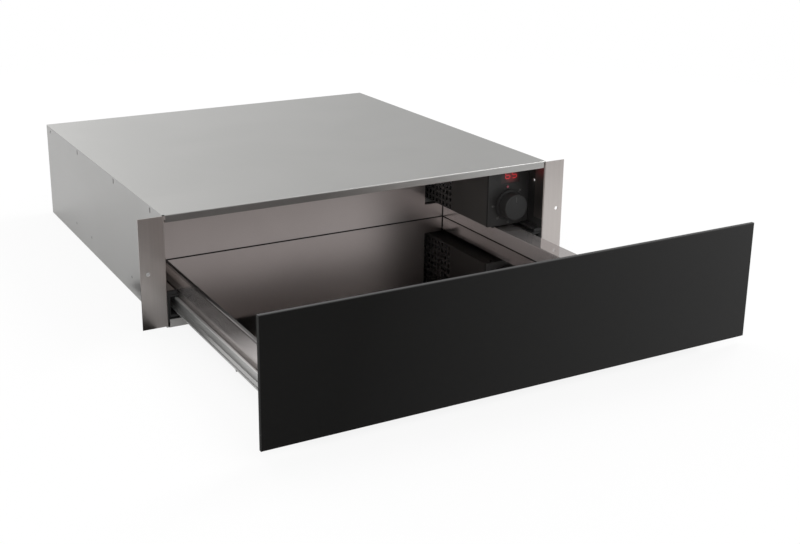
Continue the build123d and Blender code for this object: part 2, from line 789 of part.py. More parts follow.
save(control_fascia, "control_fascia")

with BuildPart() as display_window:
    with BuildSketch(across(cover_front_y)):
        with Locations((display_x, display_z)):
            Rectangle(display_width, display_height)
    extrude(amount=fascia_thickness - 0.4)
    with BuildSketch(across(cover_front_y)):
        with Locations((display_x, display_z)):
            Rectangle(display_width + 4, display_height + 4)
    extrude(amount=-1)
save(display_window, "display_window")

with BuildPart() as indicator_lens:
    with BuildSketch(across(cover_front_y)):
        with Locations((lamp_x, lamp_z)):
            Circle(lamp_diameter / 2)
    extrude(amount=fascia_thickness + 0.4)
    chamfer(indicator_lens.edges().sort_by(Axis.Y)[0], 0.6)
save(indicator_lens, "indicator_lens")

with BuildPart() as control_board:
    with BuildSketch(across(board_y)):
        with Locations((display_x, board_z)):
            Rectangle(board_width, board_height)
    extrude(amount=-1.6)
    # relay, capacitor and plug header on the board's rear face
    with BuildSketch(across(board_y + 1.6)):
        with Locations((display_x - 14, board_z + 6)):
            Rectangle(19, 15)
        with Locations((display_x + 15, board_z - 11)):
            Rectangle(18, 7)
    extrude(amount=-14)
    with BuildSketch(across(board_y + 1.6)):
        with Locations((display_x + 14, board_z + 8)):
            Circle(6.2)
    extrude(amount=-18)
save(control_board, "control_board")

with BuildPart() as display_module:
    with BuildSketch(across(board_y)):
        with Locations((display_x, display_z)):
            Rectangle(26, 15)
    extrude(amount=5.4)
save(display_module, "display_module")

selector_depth = 17.0
selector_width = 26.0
selector_end_wall = 3.0
shaft_end_gap = 0.5
selector_back_y = cover_front_y + selector_depth
shaft_hole_radius = shaft_diameter / 2 + shaft_clearance
with BuildPart() as temperature_selector:
    with BuildSketch(across(cover_front_y)):
        with Locations((knob_x, knob_z)):
            Rectangle(selector_width, selector_width)
    extrude(amount=-selector_depth)
    with BuildSketch(across(cover_front_y)):
        with Locations((knob_x, knob_z)):
            Circle(bush_radius)
    extrude(amount=fascia_thickness)
    with BuildSketch(across(box_front_y)):
        with Locations((knob_x, knob_z)):
            Circle(shaft_hole_radius)
    extrude(amount=-(fascia_thickness + selector_depth - selector_end_wall), mode=Mode.SUBTRACT)
    # three solder tags behind
    with BuildSketch(across(selector_back_y)):
        with Locations((knob_x, knob_z)):
            with GridLocations(8, 0, 3, 1):
                Rectangle(3, 0.8)
    extrude(amount=-6)
save(temperature_selector, "temperature_selector")

knob_face_y = box_front_y - knob_depth
knob_skirt_y = box_front_y - knob_skirt_depth
knob_back_y = box_front_y - knob_fascia_gap
shaft_back_y = selector_back_y - selector_end_wall - shaft_end_gap
with BuildPart() as knob_shaft:
    with BuildSketch(across(shaft_back_y)):
        with Locations((knob_x, knob_z)):
            Circle(shaft_diameter / 2)
    extrude(amount=shaft_back_y - knob_face_y - knob_face_wall)
save(knob_shaft, "knob_shaft")

with BuildPart() as knob:
    with BuildSketch(Plane(origin=(knob_x, 0, knob_z), x_dir=(1, 0, 0), z_dir=(0, 0, 1))):
        with BuildLine():
            Polyline(
                (0, knob_face_y), (knob_grip_radius - 1, knob_face_y), (knob_grip_radius, knob_face_y + 1),
                (knob_grip_radius, knob_skirt_y), (knob_skirt_radius, knob_skirt_y + 0.8),
                (knob_skirt_radius, knob_back_y), (0, knob_back_y), close=True)
        make_face()
    revolve(axis=Axis(origin=(knob_x, 0, knob_z), direction=(0, 1, 0)))
    with BuildSketch(across(box_front_y)):
        with Locations((knob_x, knob_z)):
            Circle(shaft_diameter / 2)
    extrude(amount=knob_depth - knob_face_wall, mode=Mode.SUBTRACT)
    # pointer groove in the face
    with BuildSketch(across(knob_face_y)):
        with Locations((knob_x, knob_z + knob_grip_radius - 7)):
            SlotOverall(8, 1.4, rotation=90)
    extrude(amount=-0.7, mode=Mode.SUBTRACT)
save(knob, "knob")

# ---------------------------------------------------------------- fan heater
fan_y = vent_middle_y
fan_z = vent_middle_z
plate_face_x = fan_plate_x - housing_sheet
with BuildPart() as fan_plate:
    with BuildSketch(along(plate_face_x)):
        with Locations((fan_y, box_bottom + box_sheet)):
            Rectangle(fan_plate_width, cover_underside - housing_sheet - box_bottom - box_sheet,
                      align=(Align.CENTER, Align.MIN))
        with Locations((fan_y, fan_z)):
            Circle(7, mode=Mode.SUBTRACT)
    extrude(amount=housing_sheet)
    # foot on the box's bottom
    with BuildSketch(across(fan_y - fan_plate_width / 2 + fan_foot_inset)):
        with Locations((plate_face_x + housing_sheet, box_bottom + box_sheet)):
            Rectangle(12, housing_sheet, align=(Align.MIN, Align.MIN))
    extrude(amount=2 * fan_foot_inset - fan_plate_width)
save(fan_plate, "fan_plate")

shaft_end_x = fan_plate_x + motor_length - 6
stack_x = fan_plate_x + motor_boss
with BuildPart() as fan_motor:
    # the laminated stack with its coil below
    with BuildSketch(along(stack_x)):
        with Locations((fan_y, fan_z - 4)):
            Rectangle(2 * motor_radius, 2 * motor_radius + 8)
    extrude(amount=stack_thickness)
    with BuildSketch(along(stack_x - motor_boss)):
        with Locations((fan_y, fan_z - motor_radius - 1)):
            Rectangle(24, 11)
    extrude(amount=stack_thickness + 2 * motor_boss)
    # bearing bridges in front of it and behind it
    with BuildSketch(along(stack_x - motor_boss)):
        with Locations((fan_y, fan_z)):
            Rectangle(2 * motor_radius, 11)
    extrude(amount=stack_thickness + 2 * motor_boss)
    for sign in (-1, 1):
        with BuildSketch(along(stack_x - motor_boss)):
            with Locations((fan_y + sign * 11.5, fan_z)):
                Rectangle(10, 11)
        extrude(amount=2, mode=Mode.SUBTRACT)
    with BuildSketch(along(stack_x - motor_boss)):
        with Locations((fan_y, fan_z)):
            Circle(motor_shaft_diameter / 2 + shaft_clearance)
    extrude(amount=shaft_end_x + 0.5 - stack_x + motor_boss, mode=Mode.SUBTRACT)
save(fan_motor, "fan_motor")

impeller_back_x = plate_face_x - impeller_gap
with BuildPart() as motor_shaft:
    with BuildSketch(Plane(origin=(impeller_back_x - 12, fan_y, fan_z), z_dir=(1, 0, 0))):
        Circle(motor_shaft_diameter / 2)
    extrude(amount=shaft_end_x - impeller_back_x + 12)
save(motor_shaft, "motor_shaft")

disc_sheet = 1.2
with BuildPart() as fan_impeller:
    with BuildSketch(Plane(origin=(impeller_back_x, fan_y, fan_z), z_dir=(-1, 0, 0))):
        Circle(impeller_radius)
    extrude(amount=disc_sheet)
    with BuildSketch(Plane(origin=(impeller_back_x, fan_y, fan_z), z_dir=(-1, 0, 0))):
        Circle(6.5)
    extrude(amount=12)
    with BuildSketch(Plane(origin=(impeller_back_x - disc_sheet, fan_y, fan_z), z_dir=(-1, 0, 0))):
        with PolarLocations(impeller_radius - 5.5, blade_count):
            Rectangle(9, blade_sheet, rotation=38)
    extrude(amount=impeller_width - disc_sheet)
    with BuildSketch(Plane(origin=(impeller_back_x, fan_y, fan_z), z_dir=(-1, 0, 0))):
        Circle(motor_shaft_diameter / 2)
    extrude(amount=12, mode=Mode.SUBTRACT)
save(fan_impeller, "fan_impeller")

element_x = impeller_back_x - impeller_width / 2
with BuildPart() as heating_element:
    with BuildLine(Plane(origin=(element_x, fan_y, fan_z), x_dir=(0, 1, 0), z_dir=(1, 0, 0))) as element_path:
        CenterArc((0, 0), element_radius, 105, 330)
    with BuildSketch(Plane(origin=element_path.line @ 0, z_dir=element_path.line % 0)):
        RegularPolygon(element_tube / 2, element_sides)
    sweep(path=element_path.line)
    # the two cold ends turn back through the fan plate
    for end in (element_path.line @ 0, element_path.line @ 1):
        with BuildSketch(Plane(origin=(element_x, end.Y, end.Z), z_dir=(1, 0, 0))):
            RegularPolygon(element_tube / 2, element_sides)
        extrude(amount=plate_face_x - element_x)
save(heating_element, "heating_element")

cutout_y = fan_y + cutout_across
cutout_z = fan_z + cutout_up
cutout_base = 6.0
with BuildPart() as thermal_cutout:
    with BuildSketch(Plane(origin=(fan_plate_x, cutout_y, cutout_z), z_dir=(1, 0, 0))):
        Circle(8)
    extrude(amount=cutout_base)
    with BuildSketch(Plane(origin=(fan_plate_x + cutout_base, cutout_y, cutout_z), z_dir=(1, 0, 0))):
        with GridLocations(0, 8, 1, 2):
            Rectangle(6.3, 0.8)
    extrude(amount=7)
save(thermal_cutout, "thermal_cutout")

# ---------------------------------------------------------------- push-to-open latch
plunger_tip_y = striker_back_y + shown_opening + latch_striker_gap
latch_front_y = plunger_tip_y + plunger_reach
plunger_z = latch_bottom + latch_height / 2
plunger_x = -side_inner_x + latch_width / 2
bore_end_y = latch_front_y + latch_length - 2
with BuildPart() as latch_body:
    with BuildSketch(across(latch_front_y)):
        with Locations((plunger_x, plunger_z)):
            Rectangle(latch_width, latch_height)
    extrude(amount=-latch_length)
    chamfer(latch_body.edges().filter_by(Axis.Y).sort_by(Axis.X)[-2:], 2)
    with BuildSketch(across(latch_front_y)):
        with Locations((plunger_x, plunger_z)):
            Circle(plunger_diameter / 2 + plunger_clearance)
    extrude(amount=-(latch_length - 2), mode=Mode.SUBTRACT)
save(latch_body, "latch_body")

with BuildPart() as latch_plunger:
    with BuildSketch(across(plunger_tip_y)):
        with Locations((plunger_x, plunger_z)):
            Circle(plunger_diameter / 2)
    extrude(amount=-plunger_length)
    chamfer(latch_plunger.edges().sort_by(Axis.Y)[0], 0.8)
save(latch_plunger, "latch_plunger")

spring_wire = 0.8
spring_turns = 3
spring_front_y = plunger_tip_y + plunger_length
spring_length = bore_end_y - spring_front_y
spring_radius = plunger_diameter / 2 - spring_wire
with BuildPart() as latch_spring:
    with BuildLine() as coil:
        Helix(pitch=(spring_length - spring_wire) / spring_turns, height=spring_length - spring_wire,
              radius=spring_radius, center=(plunger_x, spring_front_y + spring_wire / 2, plunger_z),
              direction=(0, 1, 0))
    with BuildSketch(Plane(origin=coil.line @ 0, z_dir=coil.line % 0)):
        Rectangle(spring_wire, spring_wire)
    sweep(path=coil.line, is_frenet=True)
save(latch_spring, "latch_spring")

# ---------------------------------------------------------------- supply connection
gland_plane = across(back_inner_y - gland_nut_length)
with BuildPart() as cable_gland:
    # the locknut inside, the thread through the back panel and the hexagon outside
    with BuildSketch(gland_plane):
        with Locations((gland_x, gland_z)):
            RegularPolygon(gland_nut_radius, 6)
    extrude(amount=-gland_nut_length)
    with BuildSketch(gland_plane):
        with Locations((gland_x, gland_z)):
            Circle(gland_thread_radius)
    extrude(amount=-(gland_nut_length + housing_sheet))
    with BuildSketch(across(back_y)):
        with Locations((gland_x, gland_z)):
            RegularPolygon(gland_nut_radius, 6)
    extrude(amount=-gland_collar_length)
    with BuildSketch(across(back_y + gland_collar_length)):
        with Locations((gland_x, gland_z)):
            Circle(gland_thread_radius)
    extrude(amount=-gland_nut_length, taper=12)
    with BuildSketch(gland_plane):
        with Locations((gland_x, gland_z)):
            Circle(gland_bore_radius)
    extrude(amount=-(2 * gland_nut_length + housing_sheet + gland_collar_length), mode=Mode.SUBTRACT)
save(cable_gland, "cable_gland")

bracket_z = 58.0
with BuildPart() as terminal_bracket:
    with BuildSketch(along(gland_x)):
        folded_section(
            [(back_inner_y - 46, bracket_z), (back_inner_y, bracket_z), (back_inner_y, bracket_z - 14)],
            housing_sheet, sheet_bend, Side.RIGHT)
    extrude(amount=18, both=True)
save(terminal_bracket, "terminal_bracket")

with BuildPart() as terminal_block:
    with BuildSketch(Plane.XY.offset(bracket_z)):
        with Locations((gland_x, back_inner_y - 26)):
            Rectangle(33, 22)
    extrude(amount=15)
    # wire entries and clamp screws of the three poles
    with BuildSketch(across(back_inner_y - 26 + 11)):
        with Locations((gland_x, bracket_z + 5)):
            with GridLocations(10, 0, 3, 1):
                Rectangle(4.4, 4.4)
    extrude(amount=8, mode=Mode.SUBTRACT)
    with BuildSketch(Plane.XY.offset(bracket_z + 15)):
        with Locations((gland_x, back_inner_y - 26)):
            with GridLocations(10, 0, 3, 1):
                Rectangle(4.4, 4.4)
    extrude(amount=-4, mode=Mode.SUBTRACT)
save(terminal_block, "terminal_block")
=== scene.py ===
import math

import bmesh
import bpy
from mathutils import Matrix, Vector


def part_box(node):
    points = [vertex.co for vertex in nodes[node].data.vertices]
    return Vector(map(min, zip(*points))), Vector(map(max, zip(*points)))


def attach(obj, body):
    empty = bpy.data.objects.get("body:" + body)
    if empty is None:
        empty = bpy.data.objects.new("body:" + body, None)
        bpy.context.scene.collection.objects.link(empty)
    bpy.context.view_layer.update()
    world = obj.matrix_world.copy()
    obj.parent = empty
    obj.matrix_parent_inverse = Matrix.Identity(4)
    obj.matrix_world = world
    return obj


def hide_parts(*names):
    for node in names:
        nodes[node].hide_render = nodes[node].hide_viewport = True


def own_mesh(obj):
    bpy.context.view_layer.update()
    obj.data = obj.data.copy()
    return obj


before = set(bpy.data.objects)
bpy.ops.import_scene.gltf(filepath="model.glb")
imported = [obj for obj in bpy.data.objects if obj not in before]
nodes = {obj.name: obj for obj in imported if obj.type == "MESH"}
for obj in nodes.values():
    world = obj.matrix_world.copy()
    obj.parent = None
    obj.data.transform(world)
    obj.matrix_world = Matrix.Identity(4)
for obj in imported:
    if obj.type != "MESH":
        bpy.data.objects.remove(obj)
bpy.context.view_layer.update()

# ------------------------------------------------------------------ camera
camera_place = Vector((-0.68264, -1.52006, 0.53696))
view_forward = Vector((0.4427, 0.8480, -0.2915)).normalized()
view_right = view_forward.cross(Vector((0, 0, 1))).normalized()
view_up = view_right.cross(view_forward)

camera_data = bpy.data.cameras.new("kitchen_camera")
camera_data.sensor_width = 36.0
camera_data.lens = 54.01
camera_data.shift_x = 0.0626
camera_data.shift_y = -0.0721
camera_data.clip_start = 0.05
camera_data.clip_end = 60.0
camera = bpy.data.objects.new("kitchen_camera", camera_data)
bpy.context.scene.collection.objects.link(camera)
camera.matrix_world = Matrix((
    (view_right.x, view_up.x, -view_forward.x, camera_place.x),
    (view_right.y, view_up.y, -view_forward.y, camera_place.y),
    (view_right.z, view_up.z, -view_forward.z, camera_place.z),
    (0, 0, 0, 1)))
bpy.context.scene.camera = camera

# ------------------------------------------------------------------ places read from the solids
# the height below which the drawer walls get painted shade along their seam with the floor
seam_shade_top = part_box("drawer_floor")[1].z + 0.0008
rear_corner = (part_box("drawer_right_wall")[0].x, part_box("drawer_rear_wall")[0].y, 0.0)
left_wall_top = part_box("drawer_left_wall")[1].z
cover_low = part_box("top_cover")[0]
fascia_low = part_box("control_fascia")[0]
panel_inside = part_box("right_side_panel")[0].x
window_low, window_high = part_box("display_window")
knob_low, knob_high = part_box("knob")

# the middle of the lit figures and of the knob, and the seats of the two screws
digits_centre = Vector((window_low.x + 0.0182, window_low.y, window_high.z - 0.0080))
dial_centre = Vector(((knob_low.x + knob_high.x) / 2, fascia_low.y, (knob_low.z + knob_high.z) / 2))
panel_screw_seat = Vector((panel_inside, -0.2574, 0.1122))
box_screw_seat = Vector((0.2118, -0.2272, fascia_low.z))
ball_pitch = {"outer": 0.036, "inner": 0.0233}
print_proud = 0.0001


# ------------------------------------------------------------------ shader helpers
def new_node(tree, kind, place, values=None, **settings):
    """A shader node at a place, with its settings and the values of its unlinked inputs."""
    made = tree.nodes.new(kind)
    made.location = place
    for name, value in settings.items():
        setattr(made, name, value)
    for label, value in (values or {}).items():
        made.inputs[label].default_value = value
    return made


def feed(tree, source, target):
    """Links an output to an input."""
    tree.links.new(source, target)


def new_group(name, inputs, outputs):
    """An empty node group with named inputs (name, type, default) and outputs (name, type)."""
    group = bpy.data.node_groups.new(name, "ShaderNodeTree")
    for label, kind, default in inputs:
        socket = group.interface.new_socket(name=label, in_out="INPUT", socket_type=kind)
        if default is not None:
            socket.default_value = default
    for label, kind in outputs:
        group.interface.new_socket(name=label, in_out="OUTPUT", socket_type=kind)
    entry = new_node(group, "NodeGroupInput", (-900, 0))
    leave = new_node(group, "NodeGroupOutput", (700, 0))
    return group, entry, leave


def make_brushed_grain():
    """Long fine scratches of rolled or brushed sheet."""
    group, entry, leave = new_group(
        "brushed_grain",
        [("Vector", "NodeSocketVector", None), ("Stretch", "NodeSocketVector", (1, 1, 1)),
         ("Low", "NodeSocketFloat", 0.9), ("High", "NodeSocketFloat", 1.1)],
        [("Shade", "NodeSocketFloat"), ("Height", "NodeSocketFloat")])
    scale = new_node(group, "ShaderNodeVectorMath", (-700, 0), operation="MULTIPLY")
    fine = new_node(group, "ShaderNodeTexNoise", (-500, 100),
                    {"Scale": 1.0, "Detail": 4.0, "Roughness": 0.65})
    spread = new_node(group, "ShaderNodeMapRange", (-200, 100), {"From Min": 0.3, "From Max": 0.7})
    feed(group, entry.outputs["Vector"], scale.inputs[0])
    feed(group, entry.outputs["Stretch"], scale.inputs[1])
    feed(group, scale.outputs["Vector"], fine.inputs["Vector"])
    feed(group, fine.outputs["Fac"], spread.inputs["Value"])
    feed(group, entry.outputs["Low"], spread.inputs["To Min"])
    feed(group, entry.outputs["High"], spread.inputs["To Max"])
    feed(group, spread.outputs["Result"], leave.inputs["Shade"])
    feed(group, fine.outputs["Fac"], leave.inputs["Height"])
    return group


def make_handling_marks():
    """Soft patches where the surface was wiped or handled."""
    group, entry, leave = new_group(
        "handling_marks",
        [("Vector", "NodeSocketVector", None), ("Size", "NodeSocketFloat", 6.0),
         ("Low", "NodeSocketFloat", 0.0), ("High", "NodeSocketFloat", 1.0)],
        [("Mask", "NodeSocketFloat")])
    broad = new_node(group, "ShaderNodeTexNoise", (-500, 100),
                     {"Detail": 3.0, "Roughness": 0.5, "Distortion": 0.6})
    spread = new_node(group, "ShaderNodeMapRange", (-200, 100),
                      {"From Min": 0.35, "From Max": 0.65}, interpolation_type="SMOOTHSTEP")
    feed(group, entry.outputs["Vector"], broad.inputs["Vector"])
    feed(group, entry.outputs["Size"], broad.inputs["Scale"])
    feed(group, broad.outputs["Fac"], spread.inputs["Value"])
    feed(group, entry.outputs["Low"], spread.inputs["To Min"])
    feed(group, entry.outputs["High"], spread.inputs["To Max"])
    feed(group, spread.outputs["Result"], leave.inputs["Mask"])
    return group


def make_fine_texture():
    """Fine even grain of moulded plastic or powder paint."""
    group, entry, leave = new_group(
        "fine_texture",
        [("Vector", "NodeSocketVector", None), ("Size", "NodeSocketFloat", 900.0)],
        [("Height", "NodeSocketFloat")])
    cells = new_node(group, "ShaderNodeTexVoronoi", (-500, 100), feature="SMOOTH_F1")
    dust = new_node(group, "ShaderNodeTexNoise", (-500, -150), {"Detail": 2.0})
    both = new_node(group, "ShaderNodeMath", (-200, 0), operation="ADD")
    for texture in (cells, dust):
        feed(group, entry.outputs["Vector"], texture.inputs["Vector"])
        feed(group, entry.outputs["Size"], texture.inputs["Scale"])
    feed(group, cells.outputs["Distance"], both.inputs[0])
    feed(group, dust.outputs["Fac"], both.inputs[1])
    feed(group, both.outputs["Value"], leave.inputs["Height"])
    return group


def make_seam_shade_lines():
    """Lines of painted shade where sheets meet: below the height Foot, and near an upright Corner.
    """
    group, entry, leave = new_group(
        "seam_shade_lines",
        [("Vector", "NodeSocketVector", None), ("Foot", "NodeSocketFloat", 0.0199),
         ("Corner", "NodeSocketVector", (0, 0, 0)), ("Width", "NodeSocketFloat", 0.001)],
        [("Mask", "NodeSocketFloat")])
    parts = new_node(group, "ShaderNodeSeparateXYZ", (-700, 200))
    above = new_node(group, "ShaderNodeMath", (-500, 200), operation="SUBTRACT")
    foot = new_node(group, "ShaderNodeMapRange", (-250, 200), {"From Min": 0.0004, "From Max": 0.0},
                    interpolation_type="SMOOTHSTEP")
    flat = new_node(group, "ShaderNodeVectorMath", (-700, -150), {1: (1, 1, 0)},
                    operation="MULTIPLY")
    away = new_node(group, "ShaderNodeVectorMath", (-500, -150), operation="DISTANCE")
    near = new_node(group, "ShaderNodeMapRange", (-250, -150), {"To Min": 1.0, "To Max": 0.0},
                    interpolation_type="SMOOTHSTEP")
    wider = new_node(group, "ShaderNodeMath", (-500, -350), {1: 1.4}, operation="MULTIPLY")
    both = new_node(group, "ShaderNodeMath", (100, 0), operation="MAXIMUM")
    feed(group, entry.outputs["Vector"], parts.inputs["Vector"])
    feed(group, parts.outputs["Z"], above.inputs[0])
    feed(group, entry.outputs["Foot"], above.inputs[1])
    feed(group, above.outputs["Value"], foot.inputs["Value"])
    feed(group, entry.outputs["Vector"], flat.inputs[0])
    feed(group, flat.outputs["Vector"], away.inputs[0])
    feed(group, entry.outputs["Corner"], away.inputs[1])
    feed(group, entry.outputs["Width"], wider.inputs[0])
    feed(group, away.outputs["Value"], near.inputs["Value"])
    feed(group, entry.outputs["Width"], near.inputs["From Min"])
    feed(group, wider.outputs["Value"], near.inputs["From Max"])
    feed(group, foot.outputs["Result"], both.inputs[0])
    feed(group, near.outputs["Result"], both.inputs[1])
    feed(group, both.outputs["Value"], leave.inputs["Mask"])
    return group


def make_facing():
    """1 on the faces that look along a direction, 0 on the rest."""
    group, entry, leave = new_group(
        "facing", [("Way", "NodeSocketVector", (0, 0, 1))], [("Mask", "NodeSocketFloat")])
    shape = new_node(group, "ShaderNodeNewGeometry", (-700, 0))
    along = new_node(group, "ShaderNodeVectorMath", (-450, 0), operation="DOT_PRODUCT")
    step = new_node(group, "ShaderNodeMapRange", (-200, 0), {"From Min": 0.55, "From Max": 0.85},
                    interpolation_type="SMOOTHSTEP")
    feed(group, shape.outputs["Normal"], along.inputs[0])
    feed(group, entry.outputs["Way"], along.inputs[1])
    feed(group, along.outputs["Value"], step.inputs["Value"])
    feed(group, step.outputs["Result"], leave.inputs["Mask"])
    return group


def make_height_band():
    """Rises from 0 at one height to 1 at another."""
    group, entry, leave = new_group(
        "height_band",
        [("Vector", "NodeSocketVector", None), ("Low", "NodeSocketFloat", 0.0),
         ("High", "NodeSocketFloat", 0.1)],
        [("Mask", "NodeSocketFloat")])
    parts = new_node(group, "ShaderNodeSeparateXYZ", (-500, 0))
    rise = new_node(group, "ShaderNodeMapRange", (-200, 0), interpolation_type="SMOOTHSTEP")
    feed(group, entry.outputs["Vector"], parts.inputs["Vector"])
    feed(group, parts.outputs["Z"], rise.inputs["Value"])
    feed(group, entry.outputs["Low"], rise.inputs["From Min"])
    feed(group, entry.outputs["High"], rise.inputs["From Max"])
    feed(group, rise.outputs["Result"], leave.inputs["Mask"])
    return group


brushed_grain = make_brushed_grain()
handling_marks = make_handling_marks()
fine_texture = make_fine_texture()
seam_shade_lines = make_seam_shade_lines()
facing = make_facing()
height_band = make_height_band()


def place_group(tree, group, place, **values):
    """A node group placed in a material, with the values of its unlinked inputs."""
    made = new_node(tree, "ShaderNodeGroup", place)
    made.node_tree = group
    for label, value in values.items():
        made.inputs[label].default_value = value
    return made


def start_material(name):
    """A material with a bare surface and a source of Object coordinates."""
    material = bpy.data.materials.new(name)
    material.use_nodes = True
    tree = material.node_tree
    tree.nodes.clear()
    surface = new_node(tree, "ShaderNodeBsdfPrincipled", (300, 0))
    leave = new_node(tree, "ShaderNodeOutputMaterial", (650, 0))
    new_node(tree, "ShaderNodeTexCoord", (-1300, 0))
    feed(tree, surface.outputs["BSDF"], leave.inputs["Surface"])
    return material


def parts_of(material):
    """A material's node tree, its surface and its Object coordinates."""
    tree = material.node_tree
    where = tree.nodes["Texture Coordinate"].outputs["Object"]
    return tree, tree.nodes["Principled BSDF"], where


def colour_between(tree, dark, light, share):
    """A colour between two, by share."""
    tone = new_node(tree, "ShaderNodeMix", (-700, 200), {"A": (*dark, 1), "B": (*light, 1)},
                    data_type="RGBA")
    feed(tree, share, tone.inputs["Factor"])
    return tone.outputs["Result"]


def roughness_between(tree, surface, rough, share):
    """Runs a surface's roughness between two values, by share."""
    spread = new_node(tree, "ShaderNodeMapRange", (-700, -150),
                      {"To Min": rough[0], "To Max": rough[1]})
    feed(tree, share, spread.inputs["Value"])
    feed(tree, spread.outputs["Result"], surface.inputs["Roughness"])


def add_relief(tree, surface, height, strength, depth):
    """Gives a surface the fine relief of a height."""
    relief = new_node(tree, "ShaderNodeBump", (0, -300), {"Strength": strength, "Distance": depth})
    feed(tree, height, relief.inputs["Height"])
    feed(tree, relief.outputs["Normal"], surface.inputs["Normal"])


def darken_where(material, mask, amount):
    """Darkens a material's colour where mask is 1, by amount."""
    tree, surface, _ = parts_of(material)
    plain = surface.inputs["Base Color"].links[0].from_socket
    keep = new_node(tree, "ShaderNodeMapRange", (-200, 450),
                    {"To Min": 1.0, "To Max": 1.0 - amount})
    shaded = new_node(tree, "ShaderNodeVectorMath", (50, 350), operation="SCALE")
    feed(tree, mask, keep.inputs["Value"])
    feed(tree, plain, shaded.inputs[0])
    feed(tree, keep.outputs["Result"], shaded.inputs["Scale"])
    feed(tree, shaded.outputs["Vector"], surface.inputs["Base Color"])


def roughen_where(material, mask, rough):
    """Takes a material's roughness to rough where mask is 1."""
    tree, surface, _ = parts_of(material)
    plain = surface.inputs["Roughness"].links[0].from_socket
    mixed = new_node(tree, "ShaderNodeMix", (50, -100), {"B": rough}, data_type="FLOAT")
    feed(tree, mask, mixed.inputs["Factor"])
    feed(tree, plain, mixed.inputs["A"])
    feed(tree, mixed.outputs["Result"], surface.inputs["Roughness"])


def looking(material, way):
    """A mask of a material's faces that look along way."""
    return place_group(material.node_tree, facing, (-1000, 850), Way=way).outputs["Mask"]


def darken_heights(material, start, full, amount):
    """Darkens a material from the height start on, fully from the height full on."""
    tree, _, where = parts_of(material)
    band = place_group(tree, height_band, (-1000, 1050), Low=start, High=full)
    feed(tree, where, band.inputs["Vector"])
    darken_where(material, band.outputs["Mask"], amount)


def paint_seam_shade(material, foot, corner, width, amount):
    """Paints shade on a material along its foot and down a corner."""
    tree, _, where = parts_of(material)
    lines = place_group(tree, seam_shade_lines, (-1000, 600), Foot=foot, Corner=corner, Width=width)
    feed(tree, where, lines.inputs["Vector"])
    darken_where(material, lines.outputs["Mask"], amount)


def sheet_metal(name, dark, light, stretch, rough, shade=(0.93, 1.07), bump=0.04, metallic=1.0):
    """Bare sheet metal: rolled grain along one way, soft marks and a colour between two tones."""
    material = start_material(name)
    tree, surface, where = parts_of(material)
    surface.inputs["Metallic"].default_value = metallic
    grain = place_group(tree, brushed_grain, (-1000, 200), Stretch=stretch,
                        Low=shade[0], High=shade[1])
    marked = place_group(tree, handling_marks, (-1000, -150), Size=5.0)
    feed(tree, where, grain.inputs["Vector"])
    feed(tree, where, marked.inputs["Vector"])
    shaded = new_node(tree, "ShaderNodeVectorMath", (-450, 200), operation="SCALE")
    feed(tree, colour_between(tree, dark, light, marked.outputs["Mask"]), shaded.inputs[0])
    feed(tree, grain.outputs["Shade"], shaded.inputs["Scale"])
    feed(tree, shaded.outputs["Vector"], surface.inputs["Base Color"])
    roughness_between(tree, surface, rough, grain.outputs["Height"])
    add_relief(tree, surface, grain.outputs["Height"], bump, 0.0004)
    return material


def moulded(name, dark, light, rough, size=900.0, bump=0.08):
    """Moulded plastic or paint: fine even texture, soft marks and a colour between two tones."""
    material = start_material(name)
    tree, surface, where = parts_of(material)
    texture = place_group(tree, fine_texture, (-1000, -200), Size=size)
    marked = place_group(tree, handling_marks, (-1000, 150), Size=14.0)
    feed(tree, where, texture.inputs["Vector"])
    feed(tree, where, marked.inputs["Vector"])
    feed(tree, colour_between(tree, dark, light, marked.outputs["Mask"]),
         surface.inputs["Base Color"])
    roughness_between(tree, surface, rough, marked.outputs["Mask"])
    add_relief(tree, surface, texture.outputs["Height"], bump, 0.0002)
    return material


# ------------------------------------------------------------------ materials
# the grain's scale along X, Y and Z: low along the rolling direction
along_x = (3.0, 900.0, 900.0)
along_y = (900.0, 3.0, 900.0)
along_z = (900.0, 900.0, 3.0)


def zinc_coated_side(name):
    """The zinc-coated sheet of the side and back panels."""
    return sheet_metal(name, (0.352, 0.349, 0.342), (0.370, 0.367, 0.360), along_y, (0.34, 0.44),
                       (0.98, 1.02), bump=0.02)


def brushed_flange(name):
    """The upright brushed steel of the mounting flanges."""
    return sheet_metal(name, (0.450, 0.418, 0.402), (0.470, 0.437, 0.420), along_z, (0.26, 0.36),
                       (0.96, 1.04), bump=0.02)


def drawer_steel(name, rough=(0.30, 0.38), tone=1.0, shade=(0.975, 1.025), rim_shade=0.0, rim_rough=None,
                 metallic=0.90, rim_shade_foot=None):
    """The walls' brushed steel, with painted shade along the seams with the floor and down the rear
    corner, painted shade on its top faces and, when asked, in a band just below its top; a tone
    above 1 gives a lighter copy as painted light.
    """
    dark = [tone * value for value in (0.545, 0.510, 0.500)]
    light = [tone * value for value in (0.570, 0.534, 0.524)]
    material = sheet_metal(name, dark, light, along_y, rough, shade, bump=0.02, metallic=metallic)
    # painted shade along the seam with the floor and down the rear corner
    paint_seam_shade(material, seam_shade_top, rear_corner, width=0.0011, amount=0.93)
    # painted shade on the top faces
    top = looking(material, (0, 0, 1))
    darken_where(material, top, rim_shade)
    if rim_rough is not None:
        roughen_where(material, top, rim_rough)
    # a band of painted shade just below the top
    if rim_shade_foot is not None:
        darken_heights(material, start=rim_shade_foot - 0.0006, full=rim_shade_foot, amount=0.62)
    return material


